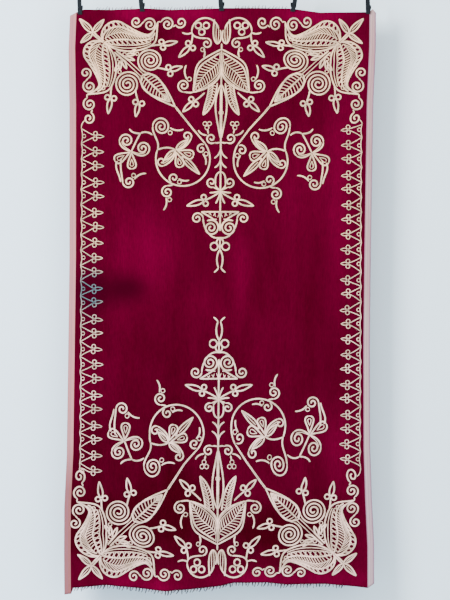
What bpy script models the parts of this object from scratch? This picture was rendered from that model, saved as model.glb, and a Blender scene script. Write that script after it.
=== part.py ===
"""Velvet hanging panel with couched braid, frayed ends and five spring clips.

Metres in the scene, millimetres in the tables. +Z is up, the front faces -Y, and the origin is
the middle of the panel's upper edge.
"""

import math

import bmesh
import bpy
from mathutils import Vector
from mathutils.bvhtree import BVHTree
from mathutils.geometry import delaunay_2d_cdt

MM = 0.001

# Velvet panel
CLOTH_THICKNESS = 2.0
CLOTH_COLUMNS = 11
CLOTH_ROWS = 19
SELVEDGE = 12.8
UPPER_EDGE = (  # share of the width, z
    (0.000, -13.7), (0.020, -7.2), (0.046, -1.0), (0.140, -2.0), (0.242, 1.2), (0.327, -2.0),
    (0.506, 2.0), (0.725, 0.8), (0.817, -7.6), (0.915, -6.6), (0.977, -6.0), (0.989, 0.0), (1.000, -7.6),
)
LOWER_EDGE = (  # share of the width, z
    (0.000, -1178.6), (0.022, -1177.0), (0.026, -1165.5), (0.135, -1159.3), (0.244, -1165.7),
    (0.326, -1172.0), (0.410, -1168.0), (0.502, -1161.5), (0.545, -1154.9), (0.651, -1154.3),
    (0.716, -1158.5), (0.841, -1156.9), (0.942, -1162.5), (0.980, -1165.5), (1.000, -1156.9),
)
SIDES = (  # share of the height, left x, right x
    (0.00, -308.0, 308.0), (0.06, -311.0, 307.6), (0.16, -309.0, 302.5), (0.42, -309.0, 297.5),
    (0.58, -311.5, 295.5), (0.76, -314.5, 296.0), (0.85, -319.5, 299.5), (0.93, -320.0, 304.0),
    (1.00, -319.3, 304.0),
)
FOLDS = (  # share of the width, half-width as a share, forward at the top, forward at the bottom
    (0.08, 0.09, 1.0, 2.0), (0.27, 0.11, 2.6, 1.2), (0.47, 0.10, -1.6, 2.2),
    (0.62, 0.10, 1.8, -1.6), (0.84, 0.11, 3.0, 1.6), (0.97, 0.06, -1.2, 1.4),
)
CURLS = (  # share of the width, half-width as a share, forward at the lower edge
    (0.19, 0.08, 4.0), (0.32, 0.06, 5.5), (0.62, 0.13, 6.0), (0.90, 0.07, 3.0),
)
CURL_HEIGHT = 0.035

# Couched braid
BRAID_WIDTH = 4.8
BORDER_WIDTH = 3.5
BRAID_THICKNESS = 1.5
BRAID_GAP = 0.85
SCROLL_PITCH = 7.4
SCROLL_SIDES = 7
SMALL_SCROLL_SIDES = 6
CURVE_STEP = 33
ARC_STEP = 25
PETAL_BELLY = 0.6
RIM_TOLERANCES = [2.2 - 0.05 * k for k in range(40)]
LEAST_HOLE = 45.0
INNER_PITCH = 17.0
INNER_MARGIN = 5.0
LONGEST_EDGE = 50.0
CHART_SCALE = 1.0065
CHART_FOOT = -1161.5
AXIS_TOP = -2.0
AXIS_LEAN = 0.0087

DRIFT = {  # height on the chart, towards the side, away from the end
    "upper_left": ((0, -2, 2), (50, 1, 3), (110, -1, -3), (200, 0, -3), (240, -1, 0), (500, -3, 0)),
    "upper_right": (
        (0, -2, 0), (50, -2, 5), (110, 6, -4), (210, 6, -3), (240, 0, 0), (300, 3, 4), (500, 2, 5),
    ),
    "lower_left": (
        (0, -8, -5), (60, -3, -3), (110, 13, -5), (200, 11, -6), (240, 11, 4), (300, 6, 5), (360, 8, 9),
        (500, 8, 10),
    ),
    "lower_right": (
        (0, -7, 5), (50, -3, 0), (110, 2, -3), (210, 5, -3), (240, 0, 8), (300, 3, 20), (500, 1, 22),
    ),
    "axis_upper": ((0, 0, 0), (500, 0, 1)),
    "axis_lower": ((0, 0, -2), (70, 0, 3), (160, 0, 3), (260, 0, 13), (380, 0, 9), (540, 0, 12)),
}

# Corner figure, drawn as one half beside its diagonal. Along is from the lobes' foot inwards.
CORNER_FOOT = (235, 65)
CORNER_BEARING = 137
LOBE_BULB = (6, 27, 27)  # along, across, radius
LOBE_WAIST = (50, 69, 28)  # along, across, heading
LOBE_SHOULDER = (74, 57, 72)
LOBE_TIP = (50, 103)
SPRIG_REACH = 30
DIAGONAL_LEAF = (75, 196, 32)  # along at its foot and tip, width
CORNER_SCROLLS = (  # along, across, radius, bearing of the outer end, hand, turns
    (95, 33, 26, -62, -1, 2.0), (18, 74, 11, 20, -1, 1.2), (42, 88, 13, -165, -1, 1.2),
    (67, 113, 13, -155, -1, 1.2), (84, 134, 11, -110, 1, 1.1),
)
CORNER_FLORETS = (  # along and across of the stem's foot, of the knot, bearing, length
    (74, 57, 89, 75, 56, 32), (114, 30, 137, 44, 60, 28),
)

# Ring and its flower, on the quarter's chart: from the axis, from the end
RING = (77, 300, 54)
RING_START = 215
RING_END = -20
FLOWER = (92, 282, 135)
FLOWER_PETALS = (  # bearing, length, width
    (27, 38, 15), (-27, 36, 15), (0, 69, 14), (84, 33, 13), (-92, 31, 13),
)
FLOWER_CURLS = (36, 95, 9.5)  # reach, bearing, radius
PALMETTE = (180, 285, 65)
PALMETTE_PETALS = ((27, 35, 15), (-35, 38, 15))
PALMETTE_CURLS = (24, 130, 14)
CURLS_ON_STEM = (  # place, radius, bearing of the outer end, hand, turns, bearing and length of the tail
    (120, 236, 17.5, 0, -1, 2.0, 170, 26), (40, 280, 9, -120, 1, 1.0, 105, 22),
    (95, 338, 9, 60, -1, 1.0, 170, 20), (108, 366, 12, -90, 1, 1.2, 70, 22),
    (185, 346, 12, 0, 1, 1.2, 205, 24),
)

# Axis figure, one half: from the axis, from the end
AXIS_SCROLLS = (  # place, radius, bearing of the outer end, hand, turns
    (30, 69, 10, -90, -1, 1.0), (75, 153, 12, 90, -1, 1.2), (19, 258, 11, 130, -1, 1.0),
    (18, 346, 10, 110, -1, 1.0), (46, 418, 12, 180, 1, 1.1), (18, 437, 16, -60, -1, 1.2),
)
AXIS_FLORETS = (  # place of the stem's foot, of the knot, bearing, length
    (58, 50, 62, 73, 45, 34), (33, 167, 55, 185, 43, 30), (2, 366, 31, 382, 17, 38),
)
AXIS_LOOPS = (  # place, radius
    (47, 33, 7), (31, 33, 7), (40, 46, 7), (27, 231, 7), (11.5, 474, 7.5),
)
ARCH = (33, 45, 27)  # place of the centre, radius
TAILS = ((59, 47, 0, 20), (36, 80, 90, 17), (68, 141, -85, 29), (28, 252, -30, 20))  # place, bearing, length
BARBS = ((277, 13, 21), (298, 12, 19))  # height on the axis, reach, drop
CUP = (325, 10, 37)  # top, half-width, height
FAN = (363, (10, 22), (70, 27))  # height, then bearing and length of each blade
TRIANGLE = (405, 38, 38)  # top, half-width, height
BOWL_FOOT = 456
PRONGS = (480, 517, 5, 9)  # top, foot, half-width, reach of the feet
STEM = (110, 443)
LEAF_PULLS = (0.62, 0.38, 0.38, 0.32)
AXIS_LEAVES = (  # foot and heading, tip and heading, heading back from the tip, place and heading at the end
    (0, 80, 28, 56, 166, 85, 190, 0, 118, 270), (25, 150, 92, 36, 212, 84, 217, 8, 148, 265),
    (0, 150, 60, 1, 258, 100, 270, 1, 160, 270), (15, 21, 85, 9, 70, 135, 210, 3, 42, 285),
)

# Side borders: name, line x and z at its top and its foot, first and last floret z, reach of knot and tip
BORDERS = (
    ("border_left", -285, -235, -289, -925, -256, -929, 28, 46),
    ("border_right", 280, -232, 277, -930, -243, -906, -27, -42),
)
BORDER_UNITS = 23

# Frayed threads: name, from x, to x, strands, which edge
FRAYS = (
    ("fray_lower", -298.0, 246.0, 32, "lower"),
    ("fray_upper_1", -256.0, -180.0, 8, "upper"),
    ("fray_upper_2", -146.0, -18.0, 13, "upper"),
    ("fray_upper_3", 24.0, 132.0, 11, "upper"),
)
FRAY_GAP = 0.35
FRAY_STRIP = 1.3
FRAY_THICKNESS = 0.9
FRAY_LENGTH = 6.5
FRAY_TOLERANCES = (0.02,)

# Spring clips: x, width, lean, side of the rear lever
CLIPS = (
    (-288.4, 8.8, 0.7, 1), (-164.0, 9.4, 1.7, 1), (-4.0, 9.7, 1.2, 1),
    (142.7, 9.4, -2.7, -1), (291.7, 9.2, 0.4, 1),
)
CLIP_BITE = 5.0
CLIP_RISE = 32.0
CLIP_LEVER = 13.0
CLIP_LEAF = 2.4
CLIP_GAP = 0.4


def between(table, at, column=1):
    """The column's value at a place, straight between the table's rows."""
    for low, high in zip(table, table[1:]):
        if at <= high[0]:
            share = max(0.0, (at - low[0]) / (high[0] - low[0]))
            return low[column] + share * (high[column] - low[column])
    return table[-1][column]


def bump(away):
    return 0.5 + 0.5 * math.cos(math.pi * away) if abs(away) < 1 else 0.0


def clear_scene():
    for obj in list(bpy.data.objects):
        bpy.data.objects.remove(obj, do_unlink=True)


def material(name, colour, roughness, sheen=0.0):
    made = bpy.data.materials.new(name)
    made.use_nodes = True
    shader = made.node_tree.nodes["Principled BSDF"]
    shader.inputs["Base Color"].default_value = (*colour, 1.0)
    shader.inputs["Roughness"].default_value = roughness
    shader.inputs["Sheen Weight"].default_value = sheen
    made.diffuse_color = (*colour, 1.0)
    return made


def add_object(name, points, faces, look):
    mesh = bpy.data.meshes.new(name)
    mesh.from_pydata([Vector(point) * MM for point in points], [], faces)
    shaped = bmesh.new()
    shaped.from_mesh(mesh)
    bmesh.ops.recalc_face_normals(shaped, faces=shaped.faces)
    shaped.to_mesh(mesh)
    shaped.free()
    mesh.materials.append(look)
    obj = bpy.data.objects.new(name, mesh)
    bpy.context.scene.collection.objects.link(obj)
    return obj


# Velvet panel

def cloth_depth(across, down):
    """How far the cloth's middle stands back (+Y) at a share of its width and height."""
    forward = 0.0
    for centre, half, top, bottom in FOLDS:
        forward += (top + (bottom - top) * down) * bump((across - centre) / half)
    near_foot = max(0.0, 1 - (1 - down) / CURL_HEIGHT)
    for centre, half, reach in CURLS:
        forward += reach * near_foot ** 1.5 * bump((across - centre) / half)
    return -forward


def cloth_point(across, down):
    left = between(SIDES, down, 1)
    right = between(SIDES, down, 2)
    top = between(UPPER_EDGE, across)
    bottom = between(LOWER_EDGE, across)
    return (left + (right - left) * across, cloth_depth(across, down), top + (bottom - top) * down)


def cloth_columns():
    hem = SELVEDGE / 616.0
    inner = [hem + (1 - 2 * hem) * i / CLOTH_COLUMNS for i in range(CLOTH_COLUMNS + 1)]
    return [0.0] + inner + [1.0]


def cloth_rows():
    even = [0.965 * j / CLOTH_ROWS for j in range(CLOTH_ROWS + 1)]
    return even + [0.983, 1.0]


def cloth_grid():
    return [[cloth_point(across, down) for across in cloth_columns()] for down in cloth_rows()]


def grid_faces(grid):
    wide = len(grid[0])
    faces = []
    for j in range(len(grid) - 1):
        for i in range(wide - 1):
            a, b = j * wide + i, j * wide + i + 1
            c, d = a + wide, b + wide
            faces += [(a, c, b), (b, c, d)]
    return faces


def velvet_panel(grid, look):
    wide, tall = len(grid[0]), len(grid)
    half = CLOTH_THICKNESS / 2
    middle = [point for row in grid for point in row]
    count = len(middle)
    points = [(x, y - half, z) for x, y, z in middle] + [(x, y + half, z) for x, y, z in middle]
    front = grid_faces(grid)
    faces = front + [(a + count, c + count, b + count) for a, b, c in front]
    rim = [i for i in range(wide)]
    rim += [j * wide + wide - 1 for j in range(1, tall)]
    rim += [(tall - 1) * wide + i for i in range(wide - 2, -1, -1)]
    rim += [j * wide for j in range(tall - 2, 0, -1)]
    for a, b in zip(rim, rim[1:] + rim[:1]):
        faces += [(a, b, b + count), (a, b + count, a + count)]
    return add_object("velvet_panel", points, faces, look)


def cloth_front(grid):
    """The front of the cloth, for finding the depth under a stroke."""
    points = [Vector((x, y - CLOTH_THICKNESS / 2, z)) for row in grid for x, y, z in row]
    return BVHTree.FromPolygons(points, grid_faces(grid))


def depth_at(front, x, z):
    hit = front.ray_cast(Vector((x, -500.0, z)), Vector((0.0, 1.0, 0.0)))[0]
    return hit.y if hit else -CLOTH_THICKNESS / 2


# Strokes and filled shapes on a flat chart. Bearings run in degrees from the first axis to the second.

def ray(x, y, bearing, length):
    angle = math.radians(bearing)
    return x + length * math.cos(angle), y + length * math.sin(angle)


def turning(line):
    """How much a line bends over its whole length, in degrees."""
    total = 0.0
    for a, b, c in zip(line, line[1:], line[2:]):
        step = math.atan2(c[1] - b[1], c[0] - b[0]) - math.atan2(b[1] - a[1], b[0] - a[0])
        total += abs((step + math.pi) % math.tau - math.pi)
    return math.degrees(total)


def curve(ax, ay, leaves, bx, by, arrives, pull=0.38):
    """A stroke that leaves one place and reaches another on the given headings."""
    reach = pull * math.dist((ax, ay), (bx, by))
    c, d = ray(ax, ay, leaves, reach), ray(bx, by, arrives, -reach)

    def sampled(pieces):
        found = []
        for k in range(pieces + 1):
            t = k / pieces
            u = 1 - t
            found.append(tuple(
                u ** 3 * (ax, ay)[i] + 3 * u * u * t * c[i] + 3 * u * t * t * d[i] + t ** 3 * (bx, by)[i]
                for i in (0, 1)
            ))
        return found

    return sampled(min(5, max(1, round(turning(sampled(16)) / CURVE_STEP))))


def arc(x, y, radius, start, end):
    pieces = max(2, round(abs(end - start) / ARC_STEP))
    return [ray(x, y, start + (end - start) * k / pieces, radius) for k in range(pieces + 1)]


def scroll(x, y, radius, bearing, hand, turns):
    count = round(turns * (SCROLL_SIDES if radius > 18 else SMALL_SCROLL_SIDES))
    found = []
    for k in range(count + 1):
        turned = turns * k / count
        found.append(ray(x, y, bearing + hand * 360 * turned, max(radius - SCROLL_PITCH * turned, 2.2)))
    return found


def loop_outline(x, y, radius, corners=4):
    return [ray(x, y, 360 * k / corners, radius) for k in range(corners)]


def leaf(x, y, bearing, length, width, belly=0.45):
    """A leaf as a kite."""
    middle = ray(x, y, bearing, belly * length)
    return [
        (x, y), ray(*middle, bearing + 90, width / 2), ray(x, y, bearing, length),
        ray(*middle, bearing - 90, width / 2),
    ]


class Figure:
    """The strokes and filled shapes of one motif or of a group of motifs."""

    def __init__(self):
        self.lines = []
        self.plates = []

    def add(self, other, x=0.0, y=0.0, bearing=0.0, flip=1):
        """Another figure, moved, turned and, with flip -1, mirrored across its first axis."""
        angle = math.radians(bearing)
        along, across = math.cos(angle), math.sin(angle)

        def moved(shape):
            return [
                (x + along * s - across * t * flip, y + across * s + along * t * flip) for s, t in shape
            ]

        self.lines += [moved(line) for line in other.lines]
        self.plates += [moved(plate) for plate in other.plates]

    def floret(self, foot_x, foot_y, knot_x, knot_y, bearing, length):
        """A stem, two small loops beside a knot, run together as one lozenge, and a leaf."""
        self.lines.append([(foot_x, foot_y), (knot_x, knot_y)])
        self.plates.append([
            ray(knot_x, knot_y, bearing + 90, 10.5), ray(knot_x, knot_y, bearing, 4.5),
            ray(knot_x, knot_y, bearing - 90, 10.5), ray(knot_x, knot_y, bearing, -4.5),
        ])
        self.plates.append(leaf(knot_x, knot_y, bearing, length, 11.0))

    def curl(self, x, y, radius, bearing, hand, turns, tail_bearing, tail_length):
        """A scroll with a tail that leaves its rim."""
        self.lines.append(scroll(x, y, radius, bearing, hand, turns))
        root = ray(x, y, tail_bearing, radius)
        self.lines.append([root, ray(*root, tail_bearing, tail_length - radius * 0.4)])

    def star(self, petals, curls):
        """Petals about one place, and a pair of scrolls that spring from it."""
        for bearing, length, width in petals:
            self.plates.append(leaf(0, 0, bearing, length, width, PETAL_BELLY))
        reach, bearing, radius = curls
        for side in (1, -1):
            x, y = ray(0, 0, side * bearing, reach)
            outer = side * (bearing - 75)
            self.lines.append(scroll(x, y, radius, outer, side, 1.1))
            end = ray(x, y, outer, radius)
            self.lines.append(curve(0, 0, side * (bearing - 50), *end, outer + side * 90))


def placed(name, side, p, q):
    """Chart place to panel place, for one quarter or one half of the axis figure."""
    low = min(max((250 - q) / 150, 0.0), 1.0)
    p += between(DRIFT[name], q, 1) * (1 + low * (p / 200 - 1)) * (1 if p > 0 else 0)
    q += between(DRIFT[name], q, 2)
    z = -q * CHART_SCALE if "upper" in name else CHART_FOOT + q * CHART_SCALE
    return AXIS_TOP + AXIS_LEAN * z + side * p * CHART_SCALE, z


# Solids from strokes

def stroke_outline(line, width):
    """Quads along a stroke, with mitred corners shared by neighbours."""
    half = width / 2
    left, right = [], []
    for k, (x, z) in enumerate(line):
        before = line[max(k - 1, 0)]
        after = line[min(k + 1, len(line) - 1)]
        into = Vector((x - before[0], z - before[1]))
        out = Vector((after[0] - x, after[1] - z))
        into = into.normalized() if into.length > 1e-6 else out.normalized()
        out = out.normalized() if out.length > 1e-6 else into
        along = (into + out).normalized()
        reach = half / max(along.dot(out), 0.6)
        left.append((x - along.y * reach, z + along.x * reach))
        right.append((x + along.y * reach, z - along.x * reach))
    return [[left[k], right[k], right[k + 1], left[k + 1]] for k in range(len(line) - 1)]


def signed_area(outline):
    pairs = zip(outline, outline[1:] + outline[:1])
    return 0.5 * sum(a[0] * b[1] - b[0] * a[1] for a, b in pairs)


def joined_triangles(outlines):
    """The union of flat outlines, as points and triangles."""
    points, faces = [], []
    for outline in outlines:
        if signed_area(outline) < 0:
            outline = outline[::-1]
        faces.append(list(range(len(points), len(points) + len(outline))))
        points += [Vector(point) for point in outline]
    made = delaunay_2d_cdt(points, [], faces, 0, 0.02)
    kept = [tuple(face) for face, source in zip(made[2], made[5]) if source]
    return [tuple(point) for point in made[0]], kept


def rim_edges(faces):
    edges = {}
    for face in faces:
        for a, b in zip(face, face[1:] + face[:1]):
            edges[(a, b)] = True
    return [(a, b) for a, b in edges if (b, a) not in edges]


def pinched(points, faces):
    """Points where the union only touches itself."""
    leaving = {}
    for a, _ in rim_edges(faces):
        leaving[a] = leaving.get(a, 0) + 1
    return [points[a] for a, count in leaving.items() if count > 1]


def islands(points, faces):
    parent = list(range(len(points)))

    def root(a):
        while parent[a] != a:
            parent[a] = parent[parent[a]]
            a = parent[a]
        return a

    for a, b, c in faces:
        parent[root(a)] = root(b)
        parent[root(b)] = root(c)
    groups = {}
    for index in sorted({a for face in faces for a in face}):
        groups.setdefault(root(index), []).append(points[index])
    return sorted(groups.values(), key=len, reverse=True)


def rim_loops(points, faces):
    following = dict(rim_edges(faces))
    loops = []
    while following:
        start, at = following.popitem()
        loop = [start]
        while at != start:
            loop.append(at)
            at = following.pop(at)
        loops.append([points[a] for a in loop])
    return loops


def off_line(point, a, b):
    length = math.dist(a, b)
    if length < 1e-9:
        return math.dist(point, a)
    return abs((b[0] - a[0]) * (point[1] - a[1]) - (b[1] - a[1]) * (point[0] - a[0])) / length


def straightened(run, within):
    """The run without the points that lie this near to a straight line."""
    if len(run) < 3:
        return run
    most, where = max((off_line(point, run[0], run[-1]), k) for k, point in enumerate(run[1:-1], 1))
    if most <= within:
        return [run[0], run[-1]]
    return straightened(run[: where + 1], within)[:-1] + straightened(run[where:], within)


def simpler_loop(loop, within):
    far = max(range(len(loop)), key=lambda k: math.dist(loop[0], loop[k]))
    return straightened(loop[: far + 1], within)[:-1] + straightened(loop[far:] + loop[:1], within)[:-1]


def with_short_edges(loop):
    """The loop with points added on long straight edges, so that they follow the folds."""
    found = []
    for a, b in zip(loop, loop[1:] + loop[:1]):
        pieces = math.ceil(math.dist(a, b) / LONGEST_EDGE)
        for k in range(pieces):
            found.append((a[0] + (b[0] - a[0]) * k / pieces, a[1] + (b[1] - a[1]) * k / pieces))
    return found


def to_segment(x, z, a, b):
    along = Vector((b[0] - a[0], b[1] - a[1]))
    out = Vector((x - a[0], z - a[1]))
    share = min(max(out.dot(along) / max(along.length_squared, 1e-9), 0.0), 1.0)
    return (out - along * share).length


def inner_points(loops):
    """Places well inside a wide part of a plate, where it has to follow the folds."""
    edges = [pair for loop in loops for pair in zip(loop, loop[1:] + loop[:1])]
    xs, zs = [a[0] for a, _ in edges], [a[1] for a, _ in edges]
    found = []
    for i in range(int(min(xs) // INNER_PITCH), int(max(xs) // INNER_PITCH) + 1):
        for j in range(int(min(zs) // INNER_PITCH), int(max(zs) // INNER_PITCH) + 1):
            x, z = (i + 0.5 * (j % 2)) * INNER_PITCH, j * INNER_PITCH
            crossed = 0
            for a, b in edges:
                if (a[1] > z) != (b[1] > z):
                    crossed += x < a[0] + (z - a[1]) * (b[0] - a[0]) / (b[1] - a[1])
            if crossed % 2 and min(to_segment(x, z, a, b) for a, b in edges) > INNER_MARGIN:
                found.append(Vector((x, z)))
    return found


def trimmed(points, faces, tolerances):
    """The same plate with fewer points along its rim, or as it was if that would part or pinch it."""
    loops = sorted(rim_loops(points, faces), key=lambda loop: -abs(signed_area(loop)))
    for within in tolerances:
        flat, ends = [], []
        for loop in loops:
            shorter = simpler_loop(loop, within)
            if len(shorter) < 3 or abs(signed_area(shorter)) < LEAST_HOLE:
                continue
            if signed_area(shorter) < 0:
                shorter = shorter[::-1]
            shorter = with_short_edges(shorter)
            ends.append(list(range(len(flat), len(flat) + len(shorter))))
            flat += [Vector(point) for point in shorter]
        inner = inner_points([[tuple(flat[index]) for index in end] for end in ends])
        made = delaunay_2d_cdt(flat + inner, [], ends, 0, 0.01)
        kept = [tuple(face) for face, source in zip(made[2], made[5]) if list(source) == [0]]
        found = [tuple(point) for point in made[0]]
        if len(islands(found, kept)) == 1 and not pinched(found, kept):
            return found, kept
    return points, faces


def shortest_link(first, second):
    pairs = ((math.dist(a, b), a, b) for a in first for b in second)
    return min(pairs)


def united(outlines, width, tolerances):
    """The union in one body: pinches are filled and a loose motif gets a short link of braid."""
    for _ in range(40):
        points, faces = joined_triangles(outlines)
        groups = islands(points, faces)
        if len(groups) > 1:
            gap, a, b = shortest_link([p for group in groups[:-1] for p in group], groups[-1])
            reach = 1.5 / max(gap, 0.1)
            start = (a[0] - (b[0] - a[0]) * reach, a[1] - (b[1] - a[1]) * reach)
            end = (b[0] + (b[0] - a[0]) * reach, b[1] + (b[1] - a[1]) * reach)
            outlines = outlines + stroke_outline([start, end], width)
            continue
        pinches = pinched(points, faces)
        if not pinches:
            break
        outlines = outlines + [loop_outline(x, z, 1.4) for x, z in pinches]
    return trimmed(points, faces, tolerances)


def laid_solid(name, outlines, width, depth, thickness, look, tolerances=RIM_TOLERANCES):
    """A closed plate on the union of the outlines. depth(x, z) is its back."""
    points, faces = united(outlines, width, tolerances)
    used = sorted({a for face in faces for a in face})
    order = {index: k for k, index in enumerate(used)}
    flat = [points[index] for index in used]
    count = len(flat)
    backs = [depth(x, z) for x, z in flat]
    solid = [(x, y - thickness, z) for (x, z), y in zip(flat, backs)]
    solid += [(x, y, z) for (x, z), y in zip(flat, backs)]
    front = [tuple(order[a] for a in face) for face in faces]
    sides = front + [(a + count, c + count, b + count) for a, b, c in front]
    for a, b in rim_edges(front):
        sides += [(b, a, a + count), (b, a + count, b + count)]
    return add_object(name, solid, sides, look)


# Braid groups

def braid(name, figures, front, look):
    outlines = []
    for part, side, figure in figures:
        for line in figure.lines:
            outlines += stroke_outline([placed(part, side, p, q) for p, q in line], BRAID_WIDTH)
        outlines += [[placed(part, side, p, q) for p, q in plate] for plate in figure.plates]
    laid_solid(
        name, outlines, BRAID_WIDTH, lambda x, z: depth_at(front, x, z) - BRAID_GAP, BRAID_THICKNESS, look
    )


def corner_half():
    """One half of the tulip figure: lobe, scrolls, florets and half of the diagonal leaf."""
    half = Figure()
    x, y, radius = LOBE_BULB
    outer = arc(x, y, radius, 255, 105)
    outer += curve(*outer[-1], 15, *LOBE_WAIST)[1:] + curve(*LOBE_WAIST, *LOBE_TIP, 115)[1:]
    inner = curve(0, 0, 0, *LOBE_SHOULDER) + curve(*LOBE_SHOULDER, *LOBE_TIP, 125)[1:]
    half.plates.append(outer + inner[-2::-1])
    for row in CORNER_SCROLLS:
        half.lines.append(scroll(*row))
    for row in CORNER_FLORETS:
        half.floret(*row)
    start = ray(*CORNER_SCROLLS[0][:2], CORNER_SCROLLS[0][3], CORNER_SCROLLS[0][2])
    half.lines.append(curve(DIAGONAL_LEAF[1], 0, 160, *start, 206))
    first, second, third, fourth = CORNER_SCROLLS[1:]
    half.lines.append([ray(*first[:2], first[3], first[2]), ray(*second[:2], second[3], second[2])])
    half.lines.append([LOBE_TIP, ray(*third[:2], third[3], third[2])])
    half.lines.append([ray(*third[:2], 20, third[2] - 2), ray(*fourth[:2], fourth[3], fourth[2])])
    return half


def sprig():
    made = Figure()
    made.lines.append([(0, 0), (-SPRIG_REACH, 0)])
    for bearing, length in ((180, 40), (95, 33), (-95, 33)):
        made.plates.append(leaf(-SPRIG_REACH, 0, bearing, length, 12))
    return made


def quarter_figure():
    made = Figure()
    half = corner_half()
    for flip in (1, -1):
        made.add(half, *CORNER_FOOT, CORNER_BEARING, flip)
    made.add(sprig(), *CORNER_FOOT, CORNER_BEARING)
    leaf_tip = ray(*CORNER_FOOT, CORNER_BEARING, DIAGONAL_LEAF[1])
    leaf_foot = ray(*CORNER_FOOT, CORNER_BEARING, DIAGONAL_LEAF[0])
    foot, tip, width = DIAGONAL_LEAF
    made.plates.append(leaf(*leaf_foot, CORNER_BEARING, tip - foot, width))
    made.plates.append(leaf(*CORNER_FOOT, CORNER_BEARING, DIAGONAL_LEAF[0] + 6, 30, 0.66))
    made.lines.append([leaf_tip, ray(*RING[:2], RING_START, RING[2])])
    made.lines.append(arc(*RING, RING_START, RING_END))
    ring_end = ray(*RING[:2], RING_END, RING[2])
    for row in CURLS_ON_STEM:
        made.curl(*row)
    big, lower, last = CURLS_ON_STEM[0], CURLS_ON_STEM[3], CURLS_ON_STEM[4]
    made.lines.append(curve(*ring_end, -110, *ray(*big[:2], big[3], big[2]), -90))
    made.lines.append([ray(*RING[:2], 70, RING[2]), ray(*lower[:2], lower[3], lower[2])])
    x, y, bearing = FLOWER
    flower = Figure()
    flower.star(FLOWER_PETALS, FLOWER_CURLS)
    made.add(flower, x, y, bearing)
    made.lines.append(curve(*ring_end, -160, x, y, 150))
    x, y, bearing = PALMETTE
    palmette = Figure()
    palmette.star(PALMETTE_PETALS, PALMETTE_CURLS)
    made.add(palmette, x, y, bearing)
    fork = (162, 249)
    made.lines.append(curve(138, 252, -40, *fork, 30))
    made.lines.append(curve(*fork, 60, x, y, 65))
    made.lines.append(curve(*fork, 0, 184, 240, -60))
    petal = ray(x, y, bearing - 31, 30)
    made.lines.append(curve(*petal, 60, *ray(*last[:2], last[3], last[2]), 95))
    return made


def rim_place(row):
    """The outer end of a scroll."""
    return ray(row[0], row[1], row[3], row[2])


def axis_lines():
    """Arch, tails, barbs, cup, fan, triangle, bowl and prongs, from the end inwards."""
    crown, curl, lower, in_cup, small, _ = [rim_place(row) for row in AXIS_SCROLLS]
    x, y, radius = ARCH
    lines = [arc(x, y, radius, 190, 360), curve(x + radius, y, 90, *crown, 180)]
    lines.append([(0, 69), (0, 81)])
    lines.append([(0, STEM[0]), (0, STEM[1])])
    for x, y, bearing, length in TAILS:
        lines.append(curve(x, y, bearing + 30, *ray(x, y, bearing, length), bearing - 30))
    lines.append(curve(*AXIS_LEAVES[0][3:5], 20, *curl, 0))
    lines.append(curve(*lower, 150, 0, lower[1], 180))
    for top, reach, drop in BARBS:
        lines.append(curve(0, top, 60, reach, top + drop, 35))
    top, half, height = CUP
    lines.append(curve(0, top, 10, half, top + 0.7 * height, 95))
    lines.append(curve(half, top + 0.7 * height, 95, 0, top + height, 150))
    lines.append([in_cup, (0, top + height)])
    for bearing, length in FAN[1:]:
        lines.append([(0, FAN[0]), ray(0, FAN[0], bearing, length)])
    top, half, height = TRIANGLE
    lines += [[(0, top), (half, top)], curve(half, top, 150, 0, top + height, 95)]
    lines.append(curve(*small, 90, 0, BOWL_FOOT, 200))
    top, foot, half, reach = PRONGS
    lines.append([(0, BOWL_FOOT), (0, top)])
    lines += [curve(0, top, 60, half / 2, foot, 110), [(half / 2, foot), (half / 2 + reach, foot + reach)]]
    return lines


def axis_figure():
    made = Figure()
    made.lines += axis_lines()
    for pull, row in zip(LEAF_PULLS, AXIS_LEAVES):
        x, y, leaves, tip_x, tip_y, arrives, back, end_x, end_y, ends = row
        made.plates.append(
            curve(x, y, leaves, tip_x, tip_y, arrives, pull)
            + curve(tip_x, tip_y, back, end_x, end_y, ends)[1:])
    for row in AXIS_SCROLLS:
        made.lines.append(scroll(*row))
    for row in AXIS_FLORETS:
        made.floret(*row)
    for row in AXIS_LOOPS:
        made.plates.append(loop_outline(*row))
    return made


def border(name, top_x, top_z, foot_x, foot_z, first_z, last_z, knot_reach, tip_reach, front, look):
    """A line with a row of V strokes, each ending in a small slit leaf."""
    pitch = (last_z - first_z) / (BORDER_UNITS - 1)
    outlines = []

    def line_x(z):
        return top_x + (foot_x - top_x) * (z - top_z) / (foot_z - top_z)

    for k in range(BORDER_UNITS):
        z = first_z + pitch * (k + 0.06 * math.sin(2.7 * k))
        above = min(first_z + pitch * (k - 0.5), top_z)
        below = max(first_z + pitch * (k + 0.5), foot_z)
        knot, tip = (line_x(z) + knot_reach, z), (line_x(z) + tip_reach, z)
        outlines += stroke_outline([(line_x(above), above), (line_x(below), below)], BORDER_WIDTH)
        outlines += stroke_outline([(line_x(above), above), knot], BORDER_WIDTH)
        outlines += stroke_outline([(line_x(below), below), knot], BORDER_WIDTH)
        middle = 0.72 * knot[0] + 0.28 * tip[0]
        foot = 1.15 * knot[0] - 0.15 * tip[0]
        outlines.append([(foot, z), (middle, z - 5.2), tip, (middle, z + 5.2)])
    laid_solid(
        name, outlines, BORDER_WIDTH, lambda x, z: depth_at(front, x, z) - BRAID_GAP, BRAID_THICKNESS, look
    )


# Frayed threads

def edge_at(grid, which, x):
    row = grid[0] if which == "upper" else grid[-1]
    table = [(px, py, pz) for px, py, pz in row]
    return between(table, x, 1), between(table, x, 2)


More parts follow.
